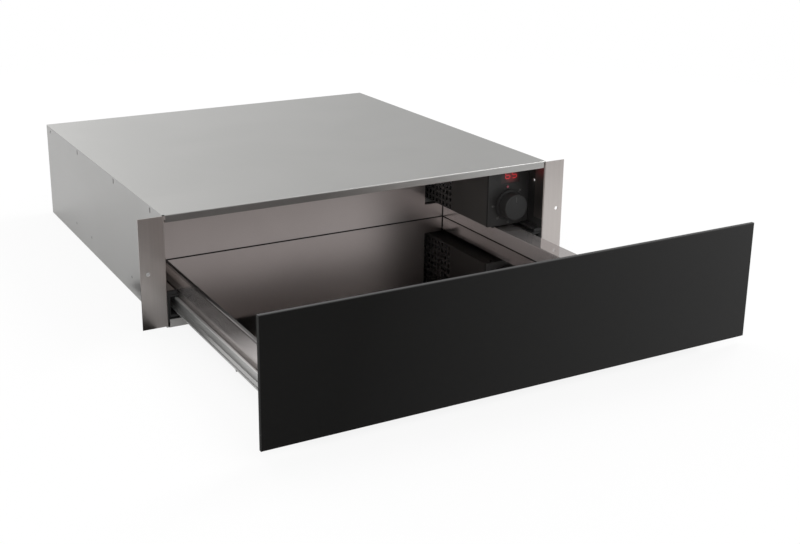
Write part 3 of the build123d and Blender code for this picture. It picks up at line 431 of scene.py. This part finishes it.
def make_cover_sheet():
    """The cover's zinc-coated sheet, with painted shade on its front lip and a painted gap shadow
    at the lip's left end.
    """
    material = sheet_metal("zinc_coated_cover", (0.392, 0.390, 0.380), (0.408, 0.405, 0.395),
                           along_y, (0.32, 0.40), (0.985, 1.015), bump=0.02)
    below_all = -1.0
    # painted gap shadow down the lip's left end
    paint_seam_shade(material, below_all, (cover_low.x, cover_low.y, 0.0), width=0.0022, amount=0.9)
    # painted shade on the front lip, strongest to the left and fading out just right of the middle
    tree, _, where = parts_of(material)
    parts = new_node(tree, "ShaderNodeSeparateXYZ", (-1000, 1050))
    to_left = new_node(tree, "ShaderNodeMapRange", (-800, 1050),
                       {"From Min": -0.07, "From Max": 0.05, "To Min": 0.40, "To Max": 0.0})
    both = new_node(tree, "ShaderNodeMath", (-600, 950), operation="MULTIPLY")
    feed(tree, where, parts.inputs["Vector"])
    feed(tree, parts.outputs["X"], to_left.inputs["Value"])
    feed(tree, looking(material, (0, -1, 0)), both.inputs[0])
    feed(tree, to_left.outputs["Result"], both.inputs[1])
    darken_where(material, both.outputs["Value"], amount=1.0)
    return material


def make_black_glass():
    """Black glass with faint wiping streaks and ground side and bottom edges."""
    material = start_material("black_glass")
    tree, surface, where = parts_of(material)
    surface.inputs["IOR"].default_value = 1.5
    marked = place_group(tree, handling_marks, (-1000, 100), Size=3.0, Low=0.030, High=0.055)
    streaks = place_group(tree, brushed_grain, (-1000, -200), Stretch=(2.0, 40.0, 6.0),
                          Low=0.0, High=1.0)
    feed(tree, where, marked.inputs["Vector"])
    feed(tree, where, streaks.inputs["Vector"])
    feed(tree, colour_between(tree, (0.0042, 0.0040, 0.0038), (0.0052, 0.0050, 0.0047),
                              streaks.outputs["Shade"]), surface.inputs["Base Color"])
    feed(tree, marked.outputs["Mask"], surface.inputs["Roughness"])
    for way in ((-1, 0, 0), (1, 0, 0), (0, 0, -1)):
        roughen_where(material, looking(material, way), rough=0.9)
    return material


def glow_from(material, centre, full, end, rest, colour, strength):
    """Makes a material shine round a point: fully within full of it, and with rest from end on."""
    tree, surface, where = parts_of(material)
    surface.inputs["Emission Strength"].default_value = strength
    away = new_node(tree, "ShaderNodeVectorMath", (-900, -600), {1: centre}, operation="DISTANCE")
    fall = new_node(tree, "ShaderNodeMapRange", (-650, -600),
                    {"From Min": full, "From Max": end, "To Min": 1.0, "To Max": rest},
                    interpolation_type="SMOOTHSTEP")
    feed(tree, where, away.inputs[0])
    feed(tree, away.outputs["Value"], fall.inputs["Value"])
    feed(tree, colour_between(tree, (0, 0, 0), colour, fall.outputs["Result"]),
         surface.inputs["Emission Color"])


cover_sheet = make_cover_sheet()
side_sheet = zinc_coated_side("zinc_coated_side")
right_side_sheet = zinc_coated_side("zinc_coated_right_side")
# painted shade on the right side panel's inner face, which faces the drawer
darken_where(right_side_sheet, looking(right_side_sheet, (-1, 0, 0)), amount=0.40)
inner_sheet = sheet_metal("zinc_coated_inner", (0.36, 0.355, 0.345), (0.40, 0.395, 0.385), along_y,
                          (0.35, 0.5), (0.94, 1.06))
flange_sheet = brushed_flange("brushed_flange")
left_flange_sheet = brushed_flange("brushed_left_flange")
# painted shade on the left flange, darker towards its foot
darken_heights(left_flange_sheet, start=0.060, full=0.004, amount=0.45)
drawer_sheet = sheet_metal("polished_drawer", (0.540, 0.505, 0.498), (0.570, 0.533, 0.525), along_y,
                           (0.035, 0.06), (0.985, 1.015), bump=0.002)
drawer_wall_sheet = drawer_steel("drawer_wall")
# painted shade on the left wall's top face and in a band just below its top
left_wall_sheet = drawer_steel("drawer_left_wall", rough=(0.19, 0.25), rim_shade=0.62, metallic=0.88,
                               rim_shade_foot=left_wall_top - 0.0024)
# a lighter copy of the wall steel as painted light, with painted shade on its top face
right_wall_sheet = drawer_steel("drawer_right_wall", rough=(0.15, 0.21), tone=1.27,
                                shade=(0.93, 1.07), rim_shade=0.26, rim_rough=0.06, metallic=0.74)
rail_sheet = sheet_metal("rail_zinc", (0.34, 0.338, 0.332), (0.38, 0.378, 0.372), along_y,
                         (0.24, 0.34), (0.92, 1.08))
# a lighter copy of the rail zinc, as painted light
drawer_rail_sheet = sheet_metal("drawer_rail_zinc", (0.41, 0.408, 0.402), (0.44, 0.438, 0.432),
                                along_y, (0.26, 0.36), (0.86, 1.14), metallic=0.62)
cage_sheet = sheet_metal("rail_cage", (0.36, 0.36, 0.35), (0.42, 0.42, 0.41), along_y,
                         (0.25, 0.40), (0.9, 1.1))
ball_sheet = sheet_metal("polished_steel", (0.56, 0.56, 0.57), (0.62, 0.62, 0.63), along_x,
                         (0.08, 0.15), (0.97, 1.03))
dark_sheet = sheet_metal("dark_steel", (0.10, 0.098, 0.095), (0.14, 0.137, 0.132), along_y,
                         (0.35, 0.5), (0.9, 1.1))
aluminium = sheet_metal("fan_aluminium", (0.60, 0.60, 0.61), (0.68, 0.68, 0.69), along_y,
                        (0.28, 0.40), (0.94, 1.06))
screw_steel = sheet_metal("screw_steel", (0.50, 0.50, 0.50), (0.58, 0.58, 0.57), along_x,
                          (0.22, 0.34), (0.92, 1.08))
screw_black = sheet_metal("screw_black", (0.020, 0.019, 0.018), (0.032, 0.031, 0.030), along_x,
                          (0.35, 0.5), (0.9, 1.1))
black_glass = make_black_glass()
box_paint = moulded("box_black_paint", (0.056, 0.054, 0.050), (0.062, 0.060, 0.056), (0.42, 0.52))
black_plastic = moulded("black_plastic", (0.010, 0.0095, 0.009), (0.013, 0.0125, 0.012),
                        (0.45, 0.58))
guide_plastic = moulded("guide_plastic", (0.005, 0.005, 0.005), (0.007, 0.007, 0.007),
                        (0.66, 0.76))
knob_plastic = moulded("knob_plastic", (0.026, 0.025, 0.024), (0.030, 0.029, 0.028), (0.52, 0.62))
# painted shade: the knob's front face far darker than its sides
darken_where(knob_plastic, looking(knob_plastic, (0, -1, 0)), amount=0.92)
grey_plastic = moulded("grey_plastic", (0.40, 0.40, 0.39), (0.46, 0.46, 0.45), (0.45, 0.6))
board_green = moulded("board_green", (0.02, 0.10, 0.045), (0.03, 0.14, 0.06), (0.35, 0.5),
                      size=400.0)
window_plastic = moulded("display_window", (0.010, 0.003, 0.003), (0.014, 0.004, 0.004),
                         (0.34, 0.42), bump=0.01)
glow_from(window_plastic, digits_centre, full=0.004, end=0.013, rest=0.05,
          colour=(0.30, 0.012, 0.018), strength=0.30)
lamp_plastic = moulded("indicator_lens", (0.34, 0.05, 0.08), (0.40, 0.06, 0.10), (0.15, 0.22),
                       bump=0.01)
dial_print = moulded("dial_print", (0.105, 0.105, 0.102), (0.135, 0.135, 0.130), (0.5, 0.62),
                     bump=0.02)
pointer_print = moulded("pointer_print", (0.060, 0.060, 0.058), (0.080, 0.080, 0.077), (0.5, 0.62),
                        bump=0.02)
digit_light = moulded("display_digits", (0.30, 0.010, 0.014), (0.36, 0.014, 0.018), (0.3, 0.4),
                      bump=0.01)
glow_from(digit_light, digits_centre, full=0.004, end=0.020, rest=0.7,
          colour=(1.0, 0.035, 0.045), strength=0.31)

finishes = {
    "top_cover": cover_sheet, "left_side_panel": side_sheet, "right_side_panel": right_side_sheet,
    "back_panel": side_sheet, "housing_base": inner_sheet,
    "left_mounting_flange": left_flange_sheet, "right_mounting_flange": flange_sheet,
    "rail_rivets": dark_sheet, "left_fixed_rail": rail_sheet, "right_fixed_rail": rail_sheet,
    "left_middle_rail": rail_sheet, "right_middle_rail": rail_sheet,
    "left_drawer_rail": drawer_rail_sheet, "right_drawer_rail": drawer_rail_sheet,
    "left_outer_cage": cage_sheet, "right_outer_cage": cage_sheet,
    "left_inner_cage": cage_sheet, "right_inner_cage": cage_sheet,
    "left_outer_balls": ball_sheet, "right_outer_balls": ball_sheet,
    "left_inner_balls": ball_sheet, "right_inner_balls": ball_sheet,
    "left_rail_guide": guide_plastic, "right_rail_guide": guide_plastic,
    "left_rail_cap": guide_plastic, "right_rail_cap": guide_plastic,
    "glass_front": black_glass, "front_carrier": drawer_wall_sheet,
    "inner_front_wall": drawer_wall_sheet, "drawer_left_wall": left_wall_sheet,
    "drawer_right_wall": right_wall_sheet, "drawer_rear_wall": drawer_wall_sheet,
    "drawer_pan": inner_sheet, "floor_bearers": inner_sheet, "drawer_floor": drawer_sheet,
    "latch_striker": black_plastic, "control_cover": box_paint, "control_fascia": black_plastic,
    "display_window": window_plastic, "indicator_lens": lamp_plastic,
    "control_board": board_green, "display_module": black_plastic,
    "temperature_selector": black_plastic, "knob_shaft": ball_sheet, "knob": knob_plastic,
    "fan_plate": inner_sheet, "fan_motor": dark_sheet, "motor_shaft": ball_sheet,
    "fan_impeller": aluminium, "heating_element": dark_sheet, "thermal_cutout": black_plastic,
    "latch_body": black_plastic, "latch_plunger": grey_plastic, "latch_spring": ball_sheet,
    "cable_gland": black_plastic, "terminal_bracket": inner_sheet, "terminal_block": grey_plastic,
}
for name, piece in nodes.items():
    piece.data.materials.clear()
    piece.data.materials.append(finishes[name])


# ------------------------------------------------------------------ pieces the solids leave out
def pick(piece):
    """Selects a piece alone and makes it the active one."""
    bpy.ops.object.select_all(action="DESELECT")
    piece.select_set(True)
    bpy.context.view_layer.objects.active = piece


def settle():
    """Puts the place, turn and size of the picked pieces into their meshes."""
    bpy.ops.object.transform_apply(location=True, rotation=True, scale=True)


def call_it(piece, name):
    """Names a piece and its mesh."""
    piece.name = name
    piece.data.name = name


def start_block(name, centre, size):
    """A block at its size and place."""
    bpy.ops.object.select_all(action="DESELECT")
    bpy.ops.mesh.primitive_cube_add(size=1.0, location=centre)
    piece = bpy.context.object
    call_it(piece, name)
    bpy.ops.transform.resize(value=size)
    settle()
    return piece


def bevel_edges(piece, wanted, offset, segments):
    """Bevels the edges of a piece that wanted(edge) picks, in edit mode."""
    bpy.ops.object.mode_set(mode="EDIT")
    bpy.ops.mesh.select_mode(type="EDGE")
    bpy.ops.mesh.select_all(action="DESELECT")
    shape = bmesh.from_edit_mesh(piece.data)
    for edge in shape.edges:
        edge.select_set(wanted(edge))
    bmesh.update_edit_mesh(piece.data)
    bpy.ops.mesh.bevel(offset=offset, segments=segments, affect="EDGES", clamp_overlap=True)
    bpy.ops.object.mode_set(mode="OBJECT")


def runs_along_y(edge):
    """Whether an edge of a mesh runs along Y."""
    way = (edge.verts[1].co - edge.verts[0].co).normalized()
    return abs(way.y) > 0.9


def copy_of(source, name, move=(0, 0, 0), turn=0.0, pivot=(0, 0, 0)):
    """A copy with its own mesh, turned about a line along Y through the pivot and then moved."""
    pick(source)
    bpy.ops.object.duplicate(linked=False)
    made = bpy.context.object
    call_it(made, name)
    there = Matrix.Translation(Vector(pivot))
    made.matrix_world = (Matrix.Translation(Vector(move)) @ there @ Matrix.Rotation(turn, 4, "Y")
                         @ there.inverted())
    settle()
    return made


def join_as(name, pieces):
    """One piece made of several."""
    pick(pieces[0])
    for piece in pieces:
        piece.select_set(True)
    bpy.ops.object.join()
    made = bpy.context.object
    call_it(made, name)
    return made


def dress(piece, finish, body, smooth=None):
    """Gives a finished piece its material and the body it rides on."""
    piece.data.materials.clear()
    piece.data.materials.append(finish)
    if smooth:
        pick(piece)
        bpy.ops.object.shade_smooth_by_angle(angle=math.radians(smooth))
    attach(piece, body)


def make_display_digits():
    """The two lit figures behind the display window, each of seven bars with pointed ends."""
    tall, wide, stroke, apart = 0.0088, 0.0068, 0.0014, 0.0108
    bar_gap, post_gap, point = 0.0006, 0.0004, stroke * 0.46
    place = (digits_centre.x, digits_centre.y - print_proud / 2, digits_centre.z)
    bar = start_block("digit_bar", place, (wide - bar_gap, print_proud, stroke))
    bevel_edges(bar, runs_along_y, point, 1)
    post = start_block("digit_post", place, (stroke, print_proud, tall / 2 - post_gap))
    bevel_edges(post, runs_along_y, point, 1)
    bars = {"top": (bar, 0, tall / 2), "middle": (bar, 0, 0), "bottom": (bar, 0, -tall / 2),
            "upper_left": (post, -wide / 2, tall / 4), "upper_right": (post, wide / 2, tall / 4),
            "lower_left": (post, -wide / 2, -tall / 4), "lower_right": (post, wide / 2, -tall / 4)}
    six = ("top", "middle", "bottom", "upper_left", "lower_left", "lower_right")
    five = ("top", "middle", "bottom", "upper_left", "lower_right")
    lit = []
    for across, figure in ((-apart / 2, six), (apart / 2, five)):
        for part in figure:
            shape, along, up = bars[part]
            lit.append(copy_of(shape, "digit_part", (across + along, 0, up)))
    bpy.data.objects.remove(bar)
    bpy.data.objects.remove(post)
    dress(join_as("display_digits", lit), digit_light, "housing")


def make_dial_print():
    """Ticks and temperatures printed round the knob, clockwise from the off mark at the top."""
    inner, outer, tick_wide, tick_round = 0.0218, 0.0232, 0.0005, 0.00015
    figure_radius, figure_size = 0.0254, 0.0040
    ticks, tick_turn = 7, math.radians(45)
    face = dial_centre.y - print_proud / 2
    tick = start_block("dial_tick", (dial_centre.x, face, dial_centre.z + (inner + outer) / 2),
                       (tick_wide, print_proud, outer - inner))
    bevel_edges(tick, runs_along_y, tick_round, 2)
    printed = [copy_of(tick, "dial_tick", turn=tick_turn * step, pivot=dial_centre)
               for step in range(ticks)]
    bpy.data.objects.remove(tick)
    for step in range(1, ticks):
        angle = tick_turn * step
        place = dial_centre + Vector((math.sin(angle), 0, math.cos(angle))) * figure_radius
        bpy.ops.object.select_all(action="DESELECT")
        bpy.ops.object.text_add(location=(place.x, face, place.z),
                                rotation=(math.radians(90), 0, 0))
        figure = bpy.context.object
        figure.data.body = str(20 + 10 * step)
        figure.data.size = figure_size
        figure.data.align_x = "CENTER"
        figure.data.align_y = "CENTER"
        figure.data.extrude = print_proud / 2
        figure.data.resolution_u = 3
        bpy.ops.object.convert(target="MESH")
        figure = bpy.context.object
        settle()
        printed.append(figure)
    dress(join_as("dial_print", printed), dial_print, "housing")


def make_knob_pointer():
    """The grey fill in the knob's pointer groove, with rounded ends."""
    long, wide, thick, sunk, off_axis = 0.0076, 0.0011, 0.0004, 0.0005, 0.0109
    centre = (dial_centre.x, knob_low.y + sunk, dial_centre.z + off_axis)
    pointer = start_block("knob_pointer", centre, (wide, thick, long))
    bevel_edges(pointer, runs_along_y, wide * 0.46, 4)
    dress(pointer, pointer_print, "temperature_knob", 40)


def make_screw(name, seat, way, radius, height, finish):
    """A pan head with a cross recess, its flat back on seat and its crown towards way."""
    crown_round, recess_long, recess_wide = height * 0.55, radius * 1.1, radius * 0.26
    bpy.ops.object.select_all(action="DESELECT")
    bpy.ops.mesh.primitive_cylinder_add(vertices=32, radius=radius, depth=height,
                                        location=(0, 0, height / 2))
    head = bpy.context.object
    settle()
    bevel_edges(head, lambda edge: min(vert.co.z for vert in edge.verts) > height * 0.9,
                crown_round, 4)
    for turn in (0, 90):
        bpy.ops.object.select_all(action="DESELECT")
        bpy.ops.mesh.primitive_cube_add(size=1.0, location=(0, 0, height))
        cutter = bpy.context.object
        cutter.scale = (recess_long, recess_wide, height)
        cutter.rotation_euler = (0, 0, math.radians(turn))
        settle()
        pick(head)
        recess = head.modifiers.new("recess", "BOOLEAN")
        recess.object = cutter
        bpy.ops.object.modifier_apply(modifier="recess")
        bpy.data.objects.remove(cutter)
    turned = Vector(way).to_track_quat("Z", "Y").to_matrix().to_4x4()
    head.matrix_world = Matrix.Translation(seat) @ turned
    settle()
    call_it(head, name)
    dress(head, finish, "housing", 35)


def make_race_balls(node, body):
    """Round polished balls in place of a race's faceted ones, at the same centres."""
    low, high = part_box(node)
    radius = (high.x - low.x) / 2
    run = high.y - low.y - 2 * radius
    rows = round(run / ball_pitch[node.split("_")[1]])
    step = run / rows
    middle = Vector(((low.x + high.x) / 2, low.y + radius, low.z + radius))
    ball = start_block("race_ball", middle, (2 * radius, 2 * radius, 2 * radius))
    bpy.ops.object.mode_set(mode="EDIT")
    bpy.ops.mesh.select_all(action="SELECT")
    bpy.ops.mesh.subdivide(number_cuts=4)
    bpy.ops.object.mode_set(mode="OBJECT")
    shape = bmesh.new()
    shape.from_mesh(ball.data)
    for vert in shape.verts:
        vert.co = middle + (vert.co - middle).normalized() * radius
    shape.to_mesh(ball.data)
    shape.free()
    rise = high.z - low.z - 2 * radius
    balls = [copy_of(ball, "race_ball", (0, row * step, up))
             for row in range(rows + 1) for up in (0, rise)]
    bpy.data.objects.remove(ball)
    made = join_as(node + "_round", balls)
    dress(made, ball_sheet, body, 60)
    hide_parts(node)


def make_latch_spring():
    """The latch's coil of round wire."""
    low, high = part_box("latch_spring")
    wire, turns, steps_a_turn = 0.0004, 7, 24
    length = high.y - low.y
    coil_radius = (high.x - low.x) / 2 - wire
    middle_x, middle_z = (low.x + high.x) / 2, (low.z + high.z) / 2
    bpy.ops.object.select_all(action="DESELECT")
    bpy.ops.mesh.primitive_circle_add(vertices=10, radius=wire, location=(coil_radius, wire, 0))
    spring = bpy.context.object
    call_it(spring, "latch_spring_coil")
    settle()
    winding = spring.modifiers.new("winding", "SCREW")
    winding.axis = "Y"
    winding.angle = math.radians(360 * turns)
    winding.screw_offset = length - 2 * wire
    winding.steps = turns * steps_a_turn
    winding.render_steps = turns * steps_a_turn
    winding.use_smooth_shade = False
    bpy.ops.object.modifier_apply(modifier="winding")
    bpy.ops.object.mode_set(mode="EDIT")
    bpy.ops.mesh.select_all(action="DESELECT")
    bpy.ops.mesh.select_mode(type="EDGE")
    bpy.ops.mesh.select_non_manifold()
    bpy.ops.mesh.edge_face_add()
    bpy.ops.mesh.select_all(action="SELECT")
    bpy.ops.mesh.normals_make_consistent(inside=False)
    bpy.ops.object.mode_set(mode="OBJECT")
    spring.location = (middle_x, low.y, middle_z)
    settle()
    dress(spring, ball_sheet, "housing", 50)
    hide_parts("latch_spring")
    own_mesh(spring)


make_latch_spring()
make_display_digits()
make_dial_print()
make_knob_pointer()
make_screw("side_panel_screw", panel_screw_seat, (-1, 0, 0), radius=0.0022, height=0.0016,
           finish=screw_steel)
make_screw("control_box_screw", box_screw_seat, (0, 0, -1), radius=0.0023, height=0.0028,
           finish=screw_black)
for side in ("left", "right"):
    for race in ("outer", "inner"):
        make_race_balls(f"{side}_{race}_balls", f"{side}_{race}_ball_race")


# ------------------------------------------------------------------ stage and light
def reflected_share(tree, place, seen, mirrored):
    """How much of the plain white a ray is shown: seen straight on, mirrored in metal and glass."""
    across, up = place
    path = new_node(tree, "ShaderNodeLightPath", (across - 500, up))
    straight = new_node(tree, "ShaderNodeMath", (across - 250, up + 100), {1: seen},
                        operation="MULTIPLY")
    shiny = new_node(tree, "ShaderNodeMath", (across - 250, up - 60), operation="MAXIMUM")
    toned = new_node(tree, "ShaderNodeMath", (across - 120, up - 60), {1: mirrored},
                     operation="MULTIPLY")
    total = new_node(tree, "ShaderNodeMath", place, operation="MAXIMUM")
    feed(tree, path.outputs["Is Camera Ray"], straight.inputs[0])
    feed(tree, path.outputs["Is Glossy Ray"], shiny.inputs[0])
    feed(tree, path.outputs["Is Transmission Ray"], shiny.inputs[1])
    feed(tree, shiny.outputs["Value"], toned.inputs[0])
    feed(tree, straight.outputs["Value"], total.inputs[0])
    feed(tree, toned.outputs["Value"], total.inputs[1])
    return total.outputs["Value"]


def stage_paint(name):
    """An empty material of the studio, with its tree and its output's surface."""
    paint = bpy.data.materials.new(name)
    paint.use_nodes = True
    tree = paint.node_tree
    tree.nodes.clear()
    leave = new_node(tree, "ShaderNodeOutputMaterial", (900, 0))
    return paint, tree, leave.inputs["Surface"]


def mix_shaders(tree, place, first, second):
    """A mix of two shaders; its Fac is the share of the second."""
    blend = new_node(tree, "ShaderNodeMixShader", place)
    feed(tree, first, blend.inputs[1])
    feed(tree, second, blend.inputs[2])
    return blend


def make_studio_floor():
    """The pale floor, which runs out into the plain white away from the drawer."""
    fade_from, fade_to = 0.75, 1.6
    bpy.ops.object.select_all(action="DESELECT")
    bpy.ops.mesh.primitive_plane_add(size=14.0, location=(0, 0, -0.0004))
    floor = bpy.context.object
    floor.name = "studio_floor"
    paint, tree, surface = stage_paint("studio_floor")
    lit = new_node(tree, "ShaderNodeBsdfDiffuse", (0, 150), {"Color": (0.95, 0.95, 0.95, 1)})
    white = new_node(tree, "ShaderNodeEmission", (0, -150), {"Strength": 1.0})
    where = new_node(tree, "ShaderNodeTexCoord", (-900, 0))
    far = new_node(tree, "ShaderNodeVectorMath", (-700, 0), operation="LENGTH")
    fade = new_node(tree, "ShaderNodeMapRange", (-500, 0),
                    {"From Min": fade_from, "From Max": fade_to}, interpolation_type="SMOOTHSTEP")
    shown = new_node(tree, "ShaderNodeMath", (200, 400), operation="MAXIMUM")
    blend = mix_shaders(tree, (450, 0), lit.outputs["BSDF"], white.outputs["Emission"])
    feed(tree, where.outputs["Object"], far.inputs[0])
    feed(tree, far.outputs["Value"], fade.inputs["Value"])
    feed(tree, reflected_share(tree, (-200, 400), seen=0.88, mirrored=0.30), shown.inputs[0])
    feed(tree, fade.outputs["Result"], shown.inputs[1])
    feed(tree, shown.outputs["Value"], blend.inputs["Fac"])
    feed(tree, blend.outputs["Shader"], surface)
    floor.data.materials.append(paint)


def run_along(tree, way, start, end, target):
    """Feeds target with a value that runs from start (place, value) to end along a direction."""
    where = new_node(tree, "ShaderNodeTexCoord", (-900, 0))
    across = new_node(tree, "ShaderNodeVectorMath", (-700, 0), {1: way}, operation="DOT_PRODUCT")
    rise = new_node(tree, "ShaderNodeMapRange", (-450, 0),
                    {"From Min": start[0], "From Max": end[0],
                     "To Min": start[1], "To Max": end[1]})
    feed(tree, where.outputs["Object"], across.inputs[0])
    feed(tree, across.outputs["Value"], rise.inputs["Value"])
    feed(tree, rise.outputs["Result"], target)


def lay_card(name, centre, size, turn=None, tint=(1, 1, 1, 1), level=1.0):
    """A flat card of the studio that only reflections show: its tree, its glow and its blend."""
    bpy.ops.object.select_all(action="DESELECT")
    bpy.ops.mesh.primitive_plane_add(size=1.0, location=(0, 0, 0))
    bpy.ops.transform.resize(value=(size[0], size[1], 1.0))
    bpy.ops.object.transform_apply(location=False, rotation=False, scale=True)
    card = bpy.context.object
    card.name = name
    card.matrix_world = Matrix.Translation(centre) @ (turn or Matrix.Identity(4))
    for switch in ("visible_camera", "visible_diffuse", "visible_transmission", "visible_shadow"):
        setattr(card, switch, False)
    paper, tree, surface = stage_paint(name)
    glow = new_node(tree, "ShaderNodeEmission", (400, 0), {"Color": tint, "Strength": level})
    clear = new_node(tree, "ShaderNodeBsdfTransparent", (400, 200))
    blend = mix_shaders(tree, (650, 0), clear.outputs["BSDF"], glow.outputs["Emission"])
    blend.inputs["Fac"].default_value = 1.0
    feed(tree, blend.outputs["Shader"], surface)
    card.data.materials.append(paper)
    return tree, glow.inputs["Strength"], blend.inputs["Fac"]


def clear_from_behind(tree, share):
    """Makes a card show on its front only."""
    shape = new_node(tree, "ShaderNodeNewGeometry", (-450, 200))
    ahead = new_node(tree, "ShaderNodeMath", (-200, 200), {0: 1.0}, operation="SUBTRACT")
    feed(tree, shape.outputs["Backfacing"], ahead.inputs[1])
    feed(tree, ahead.outputs["Value"], share)


def make_cards():
    """The cards that shape the reflections in the glass and in the drawer's polished steel."""
    warm_grey = (1.0, 0.86, 0.80, 1)
    on_floor, proud = -0.0002, 0.0004
    upright = Matrix.Rotation(math.radians(90), 4, "X")
    along_wall = Matrix.Rotation(math.radians(90), 4, "Z") @ upright
    flange_low, flange_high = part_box("left_mounting_flange")
    # before the glass, lighter to the right
    tree, strength, _ = lay_card("front_card", Vector((0.30, -1.16, on_floor)), (1.9, 1.1))
    run_along(tree, (1.0, 0.65, 0.0), start=(-0.166, 0.145), end=(0.554, 0.69), target=strength)
    # beside the left flange's foot, fading in towards the back: a dark card of painted shadow of
    # the floor, seen only in reflections
    tree, _, share = lay_card("foot_shadow_card", Vector((-0.3645, -0.270, on_floor)), (0.171, 0.34),
                              tint=warm_grey, level=0.025)
    run_along(tree, (0.0, 1.0, 0.0), start=(-0.132, 0.0), end=(-0.042, 1.0), target=share)
    # before that flange, facing the front: a dark card of painted shade, seen only in reflections
    wide, tall, middle = flange_high.x - flange_low.x, 0.102, 0.069
    place = Vector(((flange_low.x + flange_high.x) / 2, flange_low.y - 2 * proud, middle))
    tree, _, share = lay_card("flange_shade_card", place, (wide, tall), upright,
                              tint=warm_grey, level=0.022)
    clear_from_behind(tree, share)
    # on the inside of that flange and of its side panel, facing the drawer: a dark card of painted
    # shade in the gap, seen only in reflections
    long, tall, middle = 0.240, 0.118, 0.074
    place = Vector((flange_high.x + proud, flange_low.y + 0.122, middle))
    tree, _, share = lay_card("gap_shade_card", place, (long, tall), along_wall,
                              tint=warm_grey, level=0.24)
    clear_from_behind(tree, share)
    # standing behind, grey to the right
    tree, strength, _ = lay_card("back_card", Vector((3.2, 3.0, 1.15)), (5.2, 2.4), upright)
    run_along(tree, (1.0, 0.0, 0.0), start=(-2.6, 1.0), end=(-0.8, 0.59), target=strength)


def make_surroundings(level):
    """Plain surroundings that light the object at a level and look white."""
    world = bpy.data.worlds.new("studio")
    bpy.context.scene.world = world
    world.use_nodes = True
    tree = world.node_tree
    tree.nodes.clear()
    leave = new_node(tree, "ShaderNodeOutputWorld", (600, 0))
    around = new_node(tree, "ShaderNodeBackground", (100, 100),
                      {"Color": (1, 1, 1, 1), "Strength": level})
    white = new_node(tree, "ShaderNodeBackground", (100, -100),
                     {"Color": (1, 1, 1, 1), "Strength": 1.0})
    blend = mix_shaders(tree, (350, 0), around.outputs["Background"], white.outputs["Background"])
    feed(tree, reflected_share(tree, (-100, 300), seen=1.0, mirrored=1.0), blend.inputs["Fac"])
    feed(tree, blend.outputs["Shader"], leave.inputs["Surface"])


def soft_light(name, place, aim, size, radiance):
    """A rectangular softbox whose face is as bright as radiance, where plain white is 1."""
    data = bpy.data.lights.new(name, "AREA")
    data.shape = "RECTANGLE"
    data.size, data.size_y = size
    data.energy = radiance * math.pi * size[0] * size[1]
    lamp = bpy.data.objects.new(name, data)
    bpy.context.scene.collection.objects.link(lamp)
    lamp.location = place
    lamp.rotation_euler = (Vector(aim) - Vector(place)).to_track_quat("-Z", "Y").to_euler()
    lamp.visible_camera = False


make_studio_floor()
make_cards()
make_surroundings(0.80)
soft_light("back_softbox", (-0.60, 2.5, 1.9), (0, 0, 0.1), (2.2, 1.4), radiance=1.08)
soft_light("right_softbox", (2.05, 0.25, 2.2), (0, -0.2, 0.1), (1.0, 1.2), radiance=8.2)
soft_light("front_softbox", (-1.5, -2.6, 2.2), (0, -0.2, 0.05), (1.8, 1.8), radiance=1.2)

bpy.context.scene.view_settings.view_transform = "Standard"
